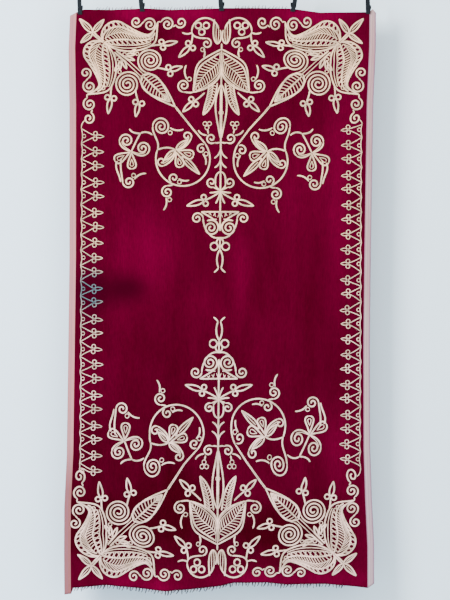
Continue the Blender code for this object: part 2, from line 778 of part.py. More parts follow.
def fray(name, start, end, strands, which, grid, look):
    """Short uneven threads whose roots run together in a narrow strip along the cut edge."""
    away = 1 if which == "upper" else -1
    corners = [x for x, _, _ in (grid[0] if which == "upper" else grid[-1]) if start < x < end]
    pitch = (end - start) / strands
    stops = sorted([start, end] + corners)
    outlines = []

    def strip(x, step):
        return edge_at(grid, which, x)[1] + away * (FRAY_GAP + step)

    for a, b in zip(stops, stops[1:]):
        if b - a > 0.3:
            outlines.append([(a, strip(a, 0)), (b, strip(b, 0)), (b, strip(b, FRAY_STRIP)),
                             (a, strip(a, FRAY_STRIP))][::-away])
    for k in range(strands):
        x = start + pitch * (k + 0.5)
        reach = FRAY_LENGTH * (0.75 + 0.25 * math.sin(5.3 * k) * math.cos(1.9 * k))
        lean = 2.4 * math.sin(3.1 * k + 0.4)
        root, tip = strip(x, FRAY_STRIP * 0.5), strip(x, reach)
        outlines.append([(x - 0.6, root), (x + 0.6, root), (x + lean + 0.3, tip), (x + lean - 0.3, tip)])
    laid_solid(
        name, outlines, FRAY_STRIP,
        lambda x, z: edge_at(grid, which, x)[0] + FRAY_THICKNESS / 2, FRAY_THICKNESS, look, FRAY_TOLERANCES,
    )


# Spring clips

def lofted(name, sections, look):
    """A closed bar through rectangles: x, half-width, front y, back y, z."""
    points, faces = [], []
    for x, half, near, far, z in sections:
        points += [(x - half, near, z), (x + half, near, z), (x + half, far, z), (x - half, far, z)]
    for k in range(len(sections) - 1):
        a = 4 * k
        for i in range(4):
            j = (i + 1) % 4
            faces.append((a + i, a + j, a + j + 4, a + i + 4))
    faces += [(3, 2, 1, 0), tuple(len(points) - 4 + i for i in range(4))]
    add_object(name, points, faces, look)


def clip(number, x, width, lean, side, grid, look):
    """A front leaf that runs on up as the strap, and a rear leaf with its short lever."""
    half = width / 2
    ends = [edge_at(grid, "upper", x + step) for step in (-half - 2, 0, half + 2)]
    y = ends[1][0]
    top = max(end[1] for end in ends)
    foot = ends[1][1] - CLIP_BITE
    slope = max(abs(end[0] - y) for end in ends) + 0.1
    cloth = CLOTH_THICKNESS / 2 + CLIP_GAP + slope
    over = top + CLIP_GAP + 0.2
    lofted(
        f"clip_{number}_front",
        (
            (x + lean, half, y - cloth - 1.6, y - cloth, foot),
            (x + 0.5 * lean, half, y - cloth - CLIP_LEAF, y - cloth, over),
            (x, half, y - cloth - CLIP_LEAF, y - CLIP_GAP / 2, over + 2.5),
            (x - 0.3 * lean, half, y - CLIP_LEAF, y - CLIP_GAP / 2, over + 8.0),
            (x - 1.5 * lean, half, y - CLIP_LEAF, y - CLIP_GAP / 2, top + CLIP_RISE - 2),
            (x - 1.5 * lean, half * 0.7, y - CLIP_LEAF + 0.3, y - CLIP_GAP / 2 - 0.3, top + CLIP_RISE),
        ),
        look,
    )
    lofted(
        f"clip_{number}_rear",
        (
            (x + lean, half * 0.9, y + cloth, y + cloth + 1.6, foot),
            (x + 0.5 * lean, half * 0.9, y + cloth, y + cloth + CLIP_LEAF, over),
            (x + side * half * 0.3, half * 0.9, y + CLIP_GAP / 2, y + cloth + CLIP_LEAF, over + 2.5),
            (x + side * half * 0.75, half * 0.75, y + cloth, y + cloth + CLIP_LEAF, over + 7.0),
            (x + side * half * 1.1, half * 0.35, y + cloth + 1.5, y + cloth + 3.2, top + CLIP_LEVER),
        ),
        look,
    )


def main():
    clear_scene()
    velvet = material("crimson_velvet", (0.16, 0.004, 0.036), 0.85, 0.6)
    metal_braid = material("tarnished_braid", (0.62, 0.53, 0.42), 0.55)
    thread = material("frayed_thread", (0.42, 0.36, 0.36), 0.9)
    plastic = material("black_plastic", (0.012, 0.014, 0.015), 0.4)
    grid = cloth_grid()
    front = cloth_front(grid)
    velvet_panel(grid, velvet)
    figure = quarter_figure()
    for name, side in (("upper_left", -1), ("upper_right", 1), ("lower_left", -1), ("lower_right", 1)):
        braid(f"braid_{name}", [(name, side, figure)], front, metal_braid)
    figure = axis_figure()
    for name in ("axis_upper", "axis_lower"):
        braid(f"braid_{name}", [(name, side, figure) for side in (-1, 1)], front, metal_braid)
    for row in BORDERS:
        border(*row, front, metal_braid)
    for row in FRAYS:
        fray(*row, grid, thread)
    for number, row in enumerate(CLIPS, 1):
        clip(number, *row, grid, plastic)


main()
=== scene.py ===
"""Velvet hanging panel with couched braid, frayed ends and five spring clips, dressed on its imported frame."""

import math
import random

import bmesh
import bpy
from bpy.props import FloatProperty, FloatVectorProperty, PointerProperty
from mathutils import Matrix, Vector


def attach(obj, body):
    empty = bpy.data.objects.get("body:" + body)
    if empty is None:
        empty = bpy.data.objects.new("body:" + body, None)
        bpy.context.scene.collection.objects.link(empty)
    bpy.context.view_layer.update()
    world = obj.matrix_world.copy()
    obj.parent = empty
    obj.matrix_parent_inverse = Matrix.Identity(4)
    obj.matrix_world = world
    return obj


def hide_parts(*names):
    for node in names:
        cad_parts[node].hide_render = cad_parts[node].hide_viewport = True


bl_info = {
    "name": "Braided velvet hanging panel",
    "version": (1, 0, 0),
    "blender": (4, 5, 0),
    "location": "3D View > Sidebar > Hanging",
    "description": "Dresses the packed velvet panel with pile, couched braid, frayed threads and clips",
    "category": "Object",
}

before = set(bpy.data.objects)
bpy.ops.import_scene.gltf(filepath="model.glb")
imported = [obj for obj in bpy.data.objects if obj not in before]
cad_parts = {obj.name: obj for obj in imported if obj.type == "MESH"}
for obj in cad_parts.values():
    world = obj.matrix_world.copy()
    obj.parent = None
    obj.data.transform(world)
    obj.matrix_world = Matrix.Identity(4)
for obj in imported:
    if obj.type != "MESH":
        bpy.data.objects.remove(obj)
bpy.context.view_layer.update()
MM = 0.001

# Cloth, in millimetres
SELVEDGE = 12.8
CLOTH_WIDTH = 616.0
CLOTH_ROWS = 244
CLOTH_STEPS = 122
EDGE_BAND = 18.0
UPPER_EDGE = (  # share of the width, z
    (0.000, -13.7), (0.020, -7.2), (0.046, -1.0), (0.140, -2.0), (0.242, 1.2), (0.327, -2.0),
    (0.506, 2.0), (0.725, 0.8), (0.817, -7.6), (0.915, -6.6), (0.977, -6.0), (0.989, 0.0), (1.000, -7.6),
)
LOWER_EDGE = (  # share of the width, z
    (0.000, -1178.6), (0.022, -1177.0), (0.026, -1165.5), (0.135, -1159.3), (0.244, -1165.7),
    (0.326, -1172.0), (0.410, -1168.0), (0.502, -1161.5), (0.545, -1154.9), (0.651, -1154.3),
    (0.716, -1158.5), (0.841, -1156.9), (0.942, -1162.5), (0.980, -1165.5), (1.000, -1156.9),
)
SIDES = (  # share of the height, left x, right x
    (0.00, -308.0, 308.0), (0.06, -311.0, 307.6), (0.16, -309.0, 302.5), (0.42, -309.0, 297.5),
    (0.58, -311.5, 295.5), (0.76, -314.5, 296.0), (0.85, -319.5, 299.5), (0.93, -320.0, 304.0),
    (1.00, -319.3, 304.0),
)
FOLDS = (  # share of the width, half-width as a share, forward at the top, forward at the bottom
    (0.08, 0.09, 1.0, 2.0), (0.27, 0.11, 2.6, 1.2), (0.47, 0.10, -1.6, 2.2),
    (0.62, 0.10, 1.8, -1.6), (0.84, 0.11, 3.0, 1.6), (0.97, 0.06, -1.2, 1.4),
)
CURLS = (  # share of the width, half-width as a share, forward at the lower edge
    (0.19, 0.08, 4.0), (0.32, 0.06, 5.5), (0.62, 0.13, 6.0), (0.90, 0.07, 3.0),
)
CURL_HEIGHT = 0.035
# Painted sheen and shade on the pile: bright patches over fold creases, the curled lower edge and the top band,
# dark patches of painted shade.
PILE_SHEEN_AND_SHADE = (  # x, z, half-width, half-height, brightness
    (34, -525, 22, 90, 0.5), (229, -395, 24, 210, 0.5), (229, -888, 28, 80, 0.5),
    (-147, -485, 62, 80, 0.6), (155, -385, 90, 130, 0.2), (-187, -8, 40, 24, 1.0),
    (-66, -6, 72, 24, 1.0), (235, -1148, 75, 24, 0.7), (180, -12, 80, 26, 1.2), (-197, -1153, 44, 18, 0.8),
    (-127, -1164, 32, 18, 0.9), (78, -1148, 95, 20, 0.9), (155, -676, 120, 180, -0.05),
    (-60, -760, 150, 90, -0.2), (-200, -950, 150, 160, -0.35), (-255, -1050, 110, 60, -0.75),
    (-60, -1040, 120, 90, -0.35), (140, -1050, 110, 60, -0.7), (-170, -60, 60, 40, -0.4),
    (160, -60, 60, 40, -0.5), (-20, -130, 50, 50, -0.5), (260, -230, 40, 160, 0.3),
)
# Woven stripes of the selvedges; the dark line at 12 to 13.4 mm, mostly on the right, is a painted shadow along
# the pile's edge.
STRIPES_AND_EDGE_SHADOW = (  # from the cloth's edge, strength on the left and on the right
    (0.0, 0.3, 1.0), (2.2, 0.1, 0.5), (5.0, 0.1, 0.0), (6.2, 0.5, 0.6), (7.4, 0.0, 0.1), (10.2, 0.0, 0.0),
    (12.0, 0.0, 0.7), (12.7, 0.2, 1.0), (13.4, 0.0, 0.0),
)
STAINS = (  # x, z, half-width, half-height, strength
    (-226, -566, 68, 36, 0.85), (-272, -575, 32, 78, 0.75), (-182, -560, 34, 24, 0.45),
)

# Couched braid
SCROLL_PITCH = 6.9
CHART_SCALE = 1.0065
CHART_FOOT = -1161.5
AXIS_TOP = -2.0
AXIS_LEAN = 0.0087
STEP = 2.2
# Width of the dark bed beside the braid: pressed pile with painted shade.
SHADE_BED_WIDTH = 1.0
RIB_SPACING = 5.0
PLAIT_PITCH = 0.0024  # metres
PLAIT_SLANT = 0.004  # metres
DRIFT = {  # height on the chart, towards the side, away from the end
    "upper_left": ((0, -2, 2), (50, 1, 3), (110, -1, -3), (200, 0, -3), (240, -1, 0), (500, -3, 0)),
    "upper_right": (
        (0, -2, 0), (50, -2, 5), (110, 6, -4), (210, 6, -3), (240, 0, 0), (300, 3, 4), (500, 2, 5),
    ),
    "lower_left": (
        (0, -8, -5), (60, -3, -3), (110, 10, -6), (200, 11, -6), (240, 11, 4), (300, 6, 5),
        (360, 8, 9), (500, 8, 10),
    ),
    "lower_right": (
        (0, -7, 5), (50, -3, 0), (110, 2, -3), (210, 5, -3), (240, 0, 8), (300, 3, 20), (500, 1, 22),
    ),
    "axis_upper": ((0, 0, 0), (500, 0, 1)),
    "axis_lower": ((0, 0, -2), (70, 0, 3), (160, 0, 3), (260, 0, 13), (380, 0, 9), (540, 0, 12)),
}

# Corner figure, drawn as one half beside its diagonal. Along is from the lobes' foot inwards.
CORNER_FOOT = (235, 65)
CORNER_BEARING = 137
LOBE_BULB = (6, 27, 27)  # along, across, radius
LOBE_WAIST = (50, 69, 28)  # along, across, heading
LOBE_SHOULDER = (74, 57, 72)
LOBE_TIP = (50, 103)
LOBE_SHARES = (0.17, 0.58, 0.79)  # outer and inner edge of the lobe's leaf, end of the net
LOBE_LINES = (0.79, 0.89)
SPRIG_REACH = 30
DIAGONAL_LEAF = (104, 196)  # along at its foot and tip
CORNER_SCROLLS = (  # along, across, radius, bearing of the outer end, hand, turns
    (95, 33, 26, -62, -1, 3.4), (18, 74, 11.5, 20, -1, 1.5), (42, 88, 13.5, -165, -1, 1.8),
    (67, 113, 13.5, -155, -1, 1.8), (84, 134, 11.5, -110, 1, 1.5),
)
CORNER_FLORETS = (  # along and across of the stem's foot, of the knot, bearing, length
    (74, 57, 89, 75, 56, 32), (114, 30, 137, 44, 60, 28),
)
FAN_RINGS = ((36, 5, 2.8), (48, 8, 3.6), (66, 26, 3.4))  # along, across, radius
FAN_PETALS = ((52, 4, 22, 22), (52, 10, 48, 18), (56, 17, 85, 15))  # along, across, bearing, length

# Ring and its flower, on the quarter's chart: from the axis, from the end
RING = (77, 300, 54)
RING_START = 215
RING_END = -20
FLOWER = (92, 282, 135)
FLOWER_PETALS = (  # bearing, length, width, start, whether its end is round
    (27, 38, 9, 4, True), (-27, 36, 9, 4, True), (0, 69, 12, 18, False), (84, 33, 12, 2, False),
    (-92, 31, 12, 2, False),
)
FLOWER_CURLS = (36, 95, 9.5)
PALMETTE = (180, 285, 65)
PALMETTE_PETALS = ((27, 35, 9, 2, True), (-35, 38, 9, 2, True))
PALMETTE_CURLS = (24, 130, 14)
CURLS_ON_STEM = (  # place, radius, bearing of the outer end, hand, turns, bearing and length of the tail
    (120, 236, 17.5, 0, -1, 2.3, 174, 34), (40, 280, 10, -120, 1, 1.3, 105, 27),
    (95, 338, 10, 60, -1, 1.3, 172, 25), (108, 366, 12.5, -90, 1, 1.6, 78, 30),
    (185, 346, 12.5, 0, 1, 1.6, 206, 31),
)

# Axis figure, one half: from the axis, from the end
AXIS_SCROLLS = (  # place, radius, bearing of the outer end, hand, turns
    (30, 69, 10.5, -90, -1, 1.4), (75, 153, 13, 90, -1, 1.7), (19, 258, 11, 130, -1, 1.4),
    (18, 346, 10.5, 110, -1, 1.4), (46, 418, 12, 180, 1, 1.5), (18, 437, 16.5, -60, -1, 2.1),
)
AXIS_FLORETS = (  # place of the stem's foot, of the knot, bearing, length
    (58, 50, 62, 73, 45, 34), (33, 167, 55, 185, 43, 30), (2, 366, 31, 382, 17, 38),
)
AXIS_RINGS = (  # place, radius
    (47, 33, 6), (31, 33, 6), (40, 46, 6), (23, 229, 4), (32, 229, 4), (28, 237, 4), (11.5, 474, 7.5),
    (38, 81, 4), (64, 140, 4), (0, 207, 4),
)
ARCH = (33, 45, 27)  # place of the centre, radius
TAILS = ((59, 47, 0, 20), (36, 80, 90, 17), (68, 141, -85, 29), (28, 252, -30, 20))
BARBS = ((277, 13, 21), (298, 12, 19))
CUP = (325, 10, 37)
FAN = (363, (10, 22), (70, 27))
TRIANGLE = (405, 38, 38)
BOWL_FOOT = 456
PRONGS = (480, 517, 5, 9)
STEM = (110, 443)
LEAF_PULLS = (0.62, 0.38, 0.38, 0.32)
AXIS_LEAVES = (  # foot and heading, tip and heading, heading back from the tip, place and heading at the end
    (0, 80, 28, 56, 166, 85, 190, 0, 118, 270), (25, 150, 92, 36, 212, 84, 217, 8, 148, 265),
    (0, 150, 60, 1, 258, 100, 270, 1, 160, 270), (15, 21, 85, 9, 70, 135, 210, 3, 42, 285),
)

BORDERS = (  # name, line x and z at its top and foot, first and last floret z, reach of knot and tip
    ("border_left", -285, -235, -289, -925, -256, -929, 28, 46),
    ("border_right", 280, -232, 277, -930, -243, -906, -27, -42),
)
BORDER_UNITS = 23

FRAYS = (  # name, from x, to x, threads, usual length, which edge
    ("fray_lower", -298.0, 246.0, 420, 6.5, "lower"),
    ("fray_upper_1", -256.0, -180.0, 60, 5.0, "upper"),
    ("fray_upper_2", -146.0, -18.0, 110, 5.0, "upper"),
    ("fray_upper_3", 24.0, 132.0, 80, 5.0, "upper"),
)

# Stage, in metres
WALL_BEHIND = 0.075
FLOOR_HEIGHT = -1.35
CAMERA_AWAY = 6.0
VIEW_HEIGHT = 1.2078


class HANGING_PG_sizes(bpy.types.PropertyGroup):
    """Sizes of the dressed panel."""

    cloth_thickness: FloatProperty(
        name="Cloth thickness", description="Velvet with its pile", default=0.0016, unit="LENGTH")
    braid_width: FloatProperty(
        name="Braid width", description="Width of the couched braid", default=0.0035, unit="LENGTH")
    rib_width: FloatProperty(
        name="Rib width", description="Width of the finer braid inside leaves", default=0.0019, unit="LENGTH")
    border_width: FloatProperty(
        name="Border width", description="Width of the side borders' braid", default=0.0018, unit="LENGTH")
    braid_height: FloatProperty(
        name="Braid height", description="How far the braid stands off the cloth", unit="LENGTH",
        default=0.0016)


class HANGING_PG_colours(bpy.types.PropertyGroup):
    """Colours of the dressed panel."""

    velvet: FloatVectorProperty(
        name="Velvet", description="Pile seen straight on", subtype="COLOR", default=(0.0515, 0.0, 0.0047))
    # Bright end of the pile's tone; where the patches push the pile to it, it is painted sheen.
    velvet_sheen_and_tone: FloatVectorProperty(
        name="Velvet bright", description="Pile brushed towards the light", subtype="COLOR",
        default=(0.093, 0.0, 0.015))
    velvet_stain: FloatVectorProperty(
        name="Stain", description="Dark stain on the pile", subtype="COLOR", default=(0.025, 0.0, 0.0038))
    # Colour of the dark bed round the braid: pressed pile, darkened further as painted shade round the braid
    # and between its ribs.
    pressed_pile_and_shade: FloatVectorProperty(
        name="Pressed pile", description="Pile pressed down round the braid", subtype="COLOR",
        default=(0.015, 0.0, 0.0025))
    selvedge: FloatVectorProperty(
        name="Selvedge", description="Unpiled edge of the cloth", subtype="COLOR",
        default=(0.37, 0.15, 0.145))
    braid: FloatVectorProperty(
        name="Braid", description="Braid of the upper half", subtype="COLOR", default=(1.0, 0.61, 0.37))
    braid_rosy: FloatVectorProperty(
        name="Rosy braid", description="Braid of the lower half", subtype="COLOR", default=(1.0, 0.64, 0.53))
    # Painted shade of the braid between its plaits and along its rims; also the base colour of its tarnish.
    braid_dark: FloatVectorProperty(
        name="Braid hollows", description="Braid between its plaits", subtype="COLOR",
        default=(0.22, 0.155, 0.105))


def between(table, at, column=1):
    for low, high in zip(table, table[1:]):
        if at <= high[0]:
            share = max(0.0, (at - low[0]) / (high[0] - low[0]))
            return low[column] + share * (high[column] - low[column])
    return table[-1][column]


def bump(away):
    return 0.5 + 0.5 * math.cos(math.pi * away) if abs(away) < 1 else 0.0


def patch(table, x, z):
    """Sum of soft oval patches at a place."""
    total = 0.0
    for px, pz, wide, tall, strength in table:
        away = math.hypot((x - px) / (1.6 * wide), (z - pz) / (1.6 * tall))
        total += strength * bump(away)
    return total


# Cloth surface

def cloth_depth(across, down):
    forward = 0.0
    for centre, half, top, bottom in FOLDS:
        forward += (top + (bottom - top) * down) * bump((across - centre) / half)
    near_foot = max(0.0, 1 - (1 - down) / CURL_HEIGHT)
    for centre, half, reach in CURLS:
        forward += reach * near_foot ** 1.5 * bump((across - centre) / half)
    return -forward


def cloth_point(across, down):
    left, right = between(SIDES, down, 1), between(SIDES, down, 2)
    top, bottom = between(UPPER_EDGE, across), between(LOWER_EDGE, across)
    return Vector((left + (right - left) * across, cloth_depth(across, down), top + (bottom - top) * down))


def cloth_shares(x, z):
    across, down = (x + 313.0) / 622.0, -z / 1165.0
    for _ in range(4):
        left, right = between(SIDES, down, 1), between(SIDES, down, 2)
        across = min(max((x - left) / (right - left), 0.0), 1.0)
        top, bottom = between(UPPER_EDGE, across), between(LOWER_EDGE, across)
        down = min(max((z - top) / (bottom - top), 0.0), 1.0)
    return across, down


def cloth_y(x, z):
    return cloth_depth(*cloth_shares(x, z))


# Strokes on the flat chart. Bearings run in degrees from the first axis to the second.

def ray(x, y, bearing, length):
    angle = math.radians(bearing)
    return x + length * math.cos(angle), y + length * math.sin(angle)


def curve(ax, ay, leaves, bx, by, arrives, pull=0.38):
    """A stroke that leaves one place and reaches another on the given headings."""
    length = math.dist((ax, ay), (bx, by))
    c, d = ray(ax, ay, leaves, pull * length), ray(bx, by, arrives, -pull * length)
    count = max(2, round(1.15 * length / STEP))
    found = []
    for k in range(count + 1):
        t = k / count
        u = 1 - t
        found.append(tuple(
            u ** 3 * (ax, ay)[i] + 3 * u * u * t * c[i] + 3 * u * t * t * d[i] + t ** 3 * (bx, by)[i]
            for i in (0, 1)
        ))
    return found


def bowed(ax, ay, bx, by, bow=0.0):
    """A stroke with an even bow, in degrees at each end."""
    heading = math.degrees(math.atan2(by - ay, bx - ax))
    return curve(ax, ay, heading + bow, bx, by, heading - bow)


def arc(x, y, radius, start, end):
    count = max(8, round(abs(math.radians(end - start)) * radius / STEP))
    return [ray(x, y, start + (end - start) * k / count, radius) for k in range(count + 1)]


def scroll(x, y, radius, bearing, hand, turns):
    turns = min(turns, (radius - 1.5) / SCROLL_PITCH)
    count = round(turns * 24)
    found = []
    for k in range(count + 1):
        turned = turns * k / count
        found.append(ray(x, y, bearing + hand * 360 * turned, max(radius - SCROLL_PITCH * turned, 1.6)))
    return found


def resampled(line, count):
    """The line with evenly spaced points."""
    runs = [0.0]
    for a, b in zip(line, line[1:]):
        runs.append(runs[-1] + math.dist(a, b))
    found, k = [], 0
    for i in range(count + 1):
        at = runs[-1] * i / count
        while k < len(line) - 2 and runs[k + 1] < at:
            k += 1
        share = (at - runs[k]) / max(runs[k + 1] - runs[k], 1e-9)
        found.append(tuple(line[k][j] + share * (line[k + 1][j] - line[k][j]) for j in (0, 1)))
    return found


def blend(one, other, share):
    return [tuple(a[i] + share * (b[i] - a[i]) for i in (0, 1)) for a, b in zip(one, other)]


class Figure:
    """The wide and the fine strokes of one motif or of a group of motifs."""

    def __init__(self):
        self.wide = []
        self.fine = []

    def add(self, other, x=0.0, y=0.0, bearing=0.0, flip=1):
        """Another figure, moved, turned and, with flip -1, mirrored across its first axis."""
        along, across = math.cos(math.radians(bearing)), math.sin(math.radians(bearing))
        for mine, theirs in ((self.wide, other.wide), (self.fine, other.fine)):
            for line in theirs:
                mine.append([
                    (x + along * s - across * t * flip, y + across * s + along * t * flip) for s, t in line
                ])

    def leaf(self, x, y, bearing, length, width, vein=True):
        """A slit leaf of two bowed strokes."""
        tip = ray(x, y, bearing, length)
        bow = math.degrees(math.atan(1.75 * width / length))
        for side in (bow, -bow):
            self.wide.append(curve(x, y, bearing + 1.3 * side, *tip, bearing - 0.65 * side))
        if vein and width > 10.5:
            self.fine.append(bowed(*ray(x, y, bearing, 0.2 * length), *ray(x, y, bearing, 0.85 * length)))

    def floret(self, foot_x, foot_y, knot_x, knot_y, bearing, length, size=1.0):
        """A stem, two small loops beside a knot and a slit leaf."""
        self.wide.append(bowed(foot_x, foot_y, knot_x, knot_y, 6))
        for side in (1, -1):
            x, y = ray(knot_x, knot_y, bearing + side * 88, 6.8 * size)
            self.wide.append(arc(x, y, 4.8 * size, bearing - side * 90, bearing + side * 270))
        self.leaf(*ray(knot_x, knot_y, bearing, 1.5), bearing, length - 1.5, 11.0 * size, False)

    def curl(self, x, y, radius, bearing, hand, turns, tail_bearing, tail_length):
        """A scroll with a small loop on its rim and a bent tail."""
        self.wide.append(scroll(x, y, radius, bearing, hand, turns))
        root = ray(x, y, tail_bearing, radius)
        end = ray(*root, tail_bearing, tail_length - radius * 0.4)
        self.wide.append(bowed(*root, *end, 28 * hand))
        self.fine.append(arc(*ray(x, y, tail_bearing + 28 * hand, radius + 3.6), 4.0, 0, 360))

    def petal(self, x, y, bearing, length, width):
        """A loop with a round end and a vein."""
        tip = ray(x, y, bearing, length)
        spread = math.degrees(math.atan(1.1 * width / length))
        for side in (1, -1):
            self.wide.append(curve(x, y, bearing + side * spread, *tip, bearing - side * 82, 0.5))
            self.fine.append(curve(
                *ray(x, y, bearing, 0.4 * length), bearing + side * spread,
                *ray(x, y, bearing, 0.84 * length), bearing - side * 80, 0.45))

    def star(self, petals, curls):
        """Petals about one place, and a pair of scrolls that spring from it."""
        for bearing, length, width, start, is_round in petals:
            draw = self.petal if is_round else self.leaf
            draw(*ray(0, 0, bearing, start), bearing, length - start, width)
        reach, bearing, radius = curls
        for side in (1, -1):
            x, y = ray(0, 0, side * bearing, reach)
            outer = side * (bearing - 75)
            self.wide.append(scroll(x, y, radius, outer, side, radius / 7.4))
            end = ray(x, y, outer, radius)
            self.wide.append(curve(0, 0, side * (bearing - 50), *end, outer + side * 90))
            inner_end = ray(*end, outer + 180, 4.5)
            self.fine.append(curve(0, 0, side * (bearing - 30), *inner_end, outer + side * 90))

    def feather(self, one, other, spacing=RIB_SPACING, share=0.5, reach=(6, 6)):
        """A vein between two edges with slanting ribs on both sides."""
        count = 60
        edges = [resampled(one, count), resampled(other, count)]
        spine = blend(*edges, share)
        self.fine.append(spine[3:-3])
        for edge, ahead_by in zip(edges, reach):
            run = spacing
            for k in range(3, count - 6):
                run += math.dist(spine[k], spine[k - 1])
                if run < spacing:
                    continue
                ahead = min(max(k + ahead_by, 0), count - 1)
                tip = blend([edge[ahead]], [spine[ahead]], 0.06)[0]
                if math.dist(spine[k], tip) > 5.0:
                    self.fine.append(bowed(*spine[k], *tip, 8))
                    run = 0.0


def lobe(half):
    """Outer line, net, feathered leaf, net and close lines of one tulip lobe."""
    x, y, radius = LOBE_BULB
    outer = arc(x, y, radius, 255, 105)
    outer += curve(*outer[-1], 15, *LOBE_WAIST)[1:] + curve(*LOBE_WAIST, *LOBE_TIP, 115)[1:]
    inner = curve(0, 0, 0, *LOBE_SHOULDER) + curve(*LOBE_SHOULDER, *LOBE_TIP, 125)[1:]
    half.wide += [outer, inner]
    edges = [resampled(outer, 120), resampled(inner, 120)]
    near, far, end = LOBE_SHARES
    leaf_edges = [blend(*edges, near)[5:-15], blend(*edges, far)[8:-17]]
    half.wide += leaf_edges
    for share in LOBE_LINES:
        half.fine.append(blend(*edges, share)[12:-38])
    for low, high, wave in ((0.0, near, 0.42), (far, end, 0.40)):
        middle = (low + high) / 2
        for swing in ((high - low) / 2, (low - high) / 2):
            half.fine.append([
                blend([a], [b], middle + swing * math.sin(wave * k))[0]
                for k, (a, b) in enumerate(zip(*edges)) if 5 < k < 96
            ])
    half.feather(*leaf_edges, RIB_SPACING + 0.6, 0.45, (11, 1))


def corner_half():
    """One half of the tulip figure: lobe, scrolls, florets and half of the diagonal leaf."""
    half = Figure()
    lobe(half)
    for row in CORNER_SCROLLS:
        half.wide.append(scroll(*row))
    for row in CORNER_FLORETS:
        half.floret(*row)
    start = rim_place(CORNER_SCROLLS[0])
    foot, tip = DIAGONAL_LEAF
    half.wide.append(curve(tip, 0, 160, *start, 206))
    side = curve(foot, 0, 64, tip - 14, 0, -25, 0.44)
    middle = [(foot + (tip - foot - 14) * k / 60, 0) for k in range(61)]
    half.wide.append(side)
    half.wide.append([(62, 3.2), (foot + 3, 3.2)])
    half.feather(side, middle, 5.4, 0.95)
    first, second, third, fourth = CORNER_SCROLLS[1:]
    half.wide.append(bowed(*rim_place(first), *rim_place(second)))
    half.wide.append(bowed(*LOBE_TIP, *rim_place(third), 10))
    half.wide.append(bowed(*ray(*third[:2], 20, third[2] - 1), *rim_place(fourth), -10))
    for along, across, radius in FAN_RINGS:
        half.fine.append(arc(along, across, radius, 0, 360))
    for along, across, bearing, length in FAN_PETALS:
        half.leaf(along, across, bearing, length, 7, False)
    half.wide.append(bowed(30, 2.4, 64, 3.2))
    return half


def rim_place(row):
    """The outer end of a scroll."""
    return ray(row[0], row[1], row[3], row[2])


def sprig():
    made = Figure()
    made.wide += [bowed(0, 1.8, -SPRIG_REACH, 1.8), bowed(0, -1.8, -SPRIG_REACH, -1.8)]
    for bearing, length in ((180, 40), (95, 33), (-95, 33)):
        made.leaf(-SPRIG_REACH, 0, bearing, length, 11)
    return made


def quarter_figure():
    made = Figure()
    half = corner_half()
    for flip in (1, -1):
        made.add(half, *CORNER_FOOT, CORNER_BEARING, flip)
    made.add(sprig(), *CORNER_FOOT, CORNER_BEARING)
    made.wide.append(arc(*ray(*CORNER_FOOT, CORNER_BEARING, DIAGONAL_LEAF[1] - 27), 3.4, 0, 360))
    leaf_tip = ray(*CORNER_FOOT, CORNER_BEARING, DIAGONAL_LEAF[1])
    ring_start, ring_end = ray(*RING[:2], RING_START, RING[2]), ray(*RING[:2], RING_END, RING[2])
    for aside in (0.8, -0.8):
        made.fine.append(
            bowed(leaf_tip[0] + aside, leaf_tip[1] + aside, ring_start[0] + aside, ring_start[1]))
    made.wide.append(arc(*RING, RING_START, RING_END))
    for row in CURLS_ON_STEM:
        made.curl(*row)
    big, lower, last = CURLS_ON_STEM[0], CURLS_ON_STEM[3], CURLS_ON_STEM[4]
    made.wide.append(curve(*ring_end, -110, *rim_place(big), -90))
    made.wide.append(bowed(*ray(*RING[:2], 70, RING[2]), *rim_place(lower), 12))
    for place, petals, curls in (
        (FLOWER, FLOWER_PETALS, FLOWER_CURLS), (PALMETTE, PALMETTE_PETALS, PALMETTE_CURLS),
    ):
        star = Figure()
        star.star(petals, curls)
        made.add(star, *place)
    made.wide.append(curve(*ring_end, -160, *FLOWER[:2], 150))
    x, y, bearing = PALMETTE
    fork = (162, 249)
    made.wide.append(curve(138, 252, -40, *fork, 30))
    made.wide.append(curve(*fork, 60, x, y, 65))
    made.wide.append(curve(*fork, 0, 184, 240, -60))
    for reach, heading in ((34, 62), (24, 78)):
        petal = ray(x, y, bearing - 31, reach)
        end = ray(*last[:2], last[3] + 34 - reach, last[2] + (reach - 24) * 0.4)
        made.wide.append(curve(*petal, heading, *end, 95))
    return made


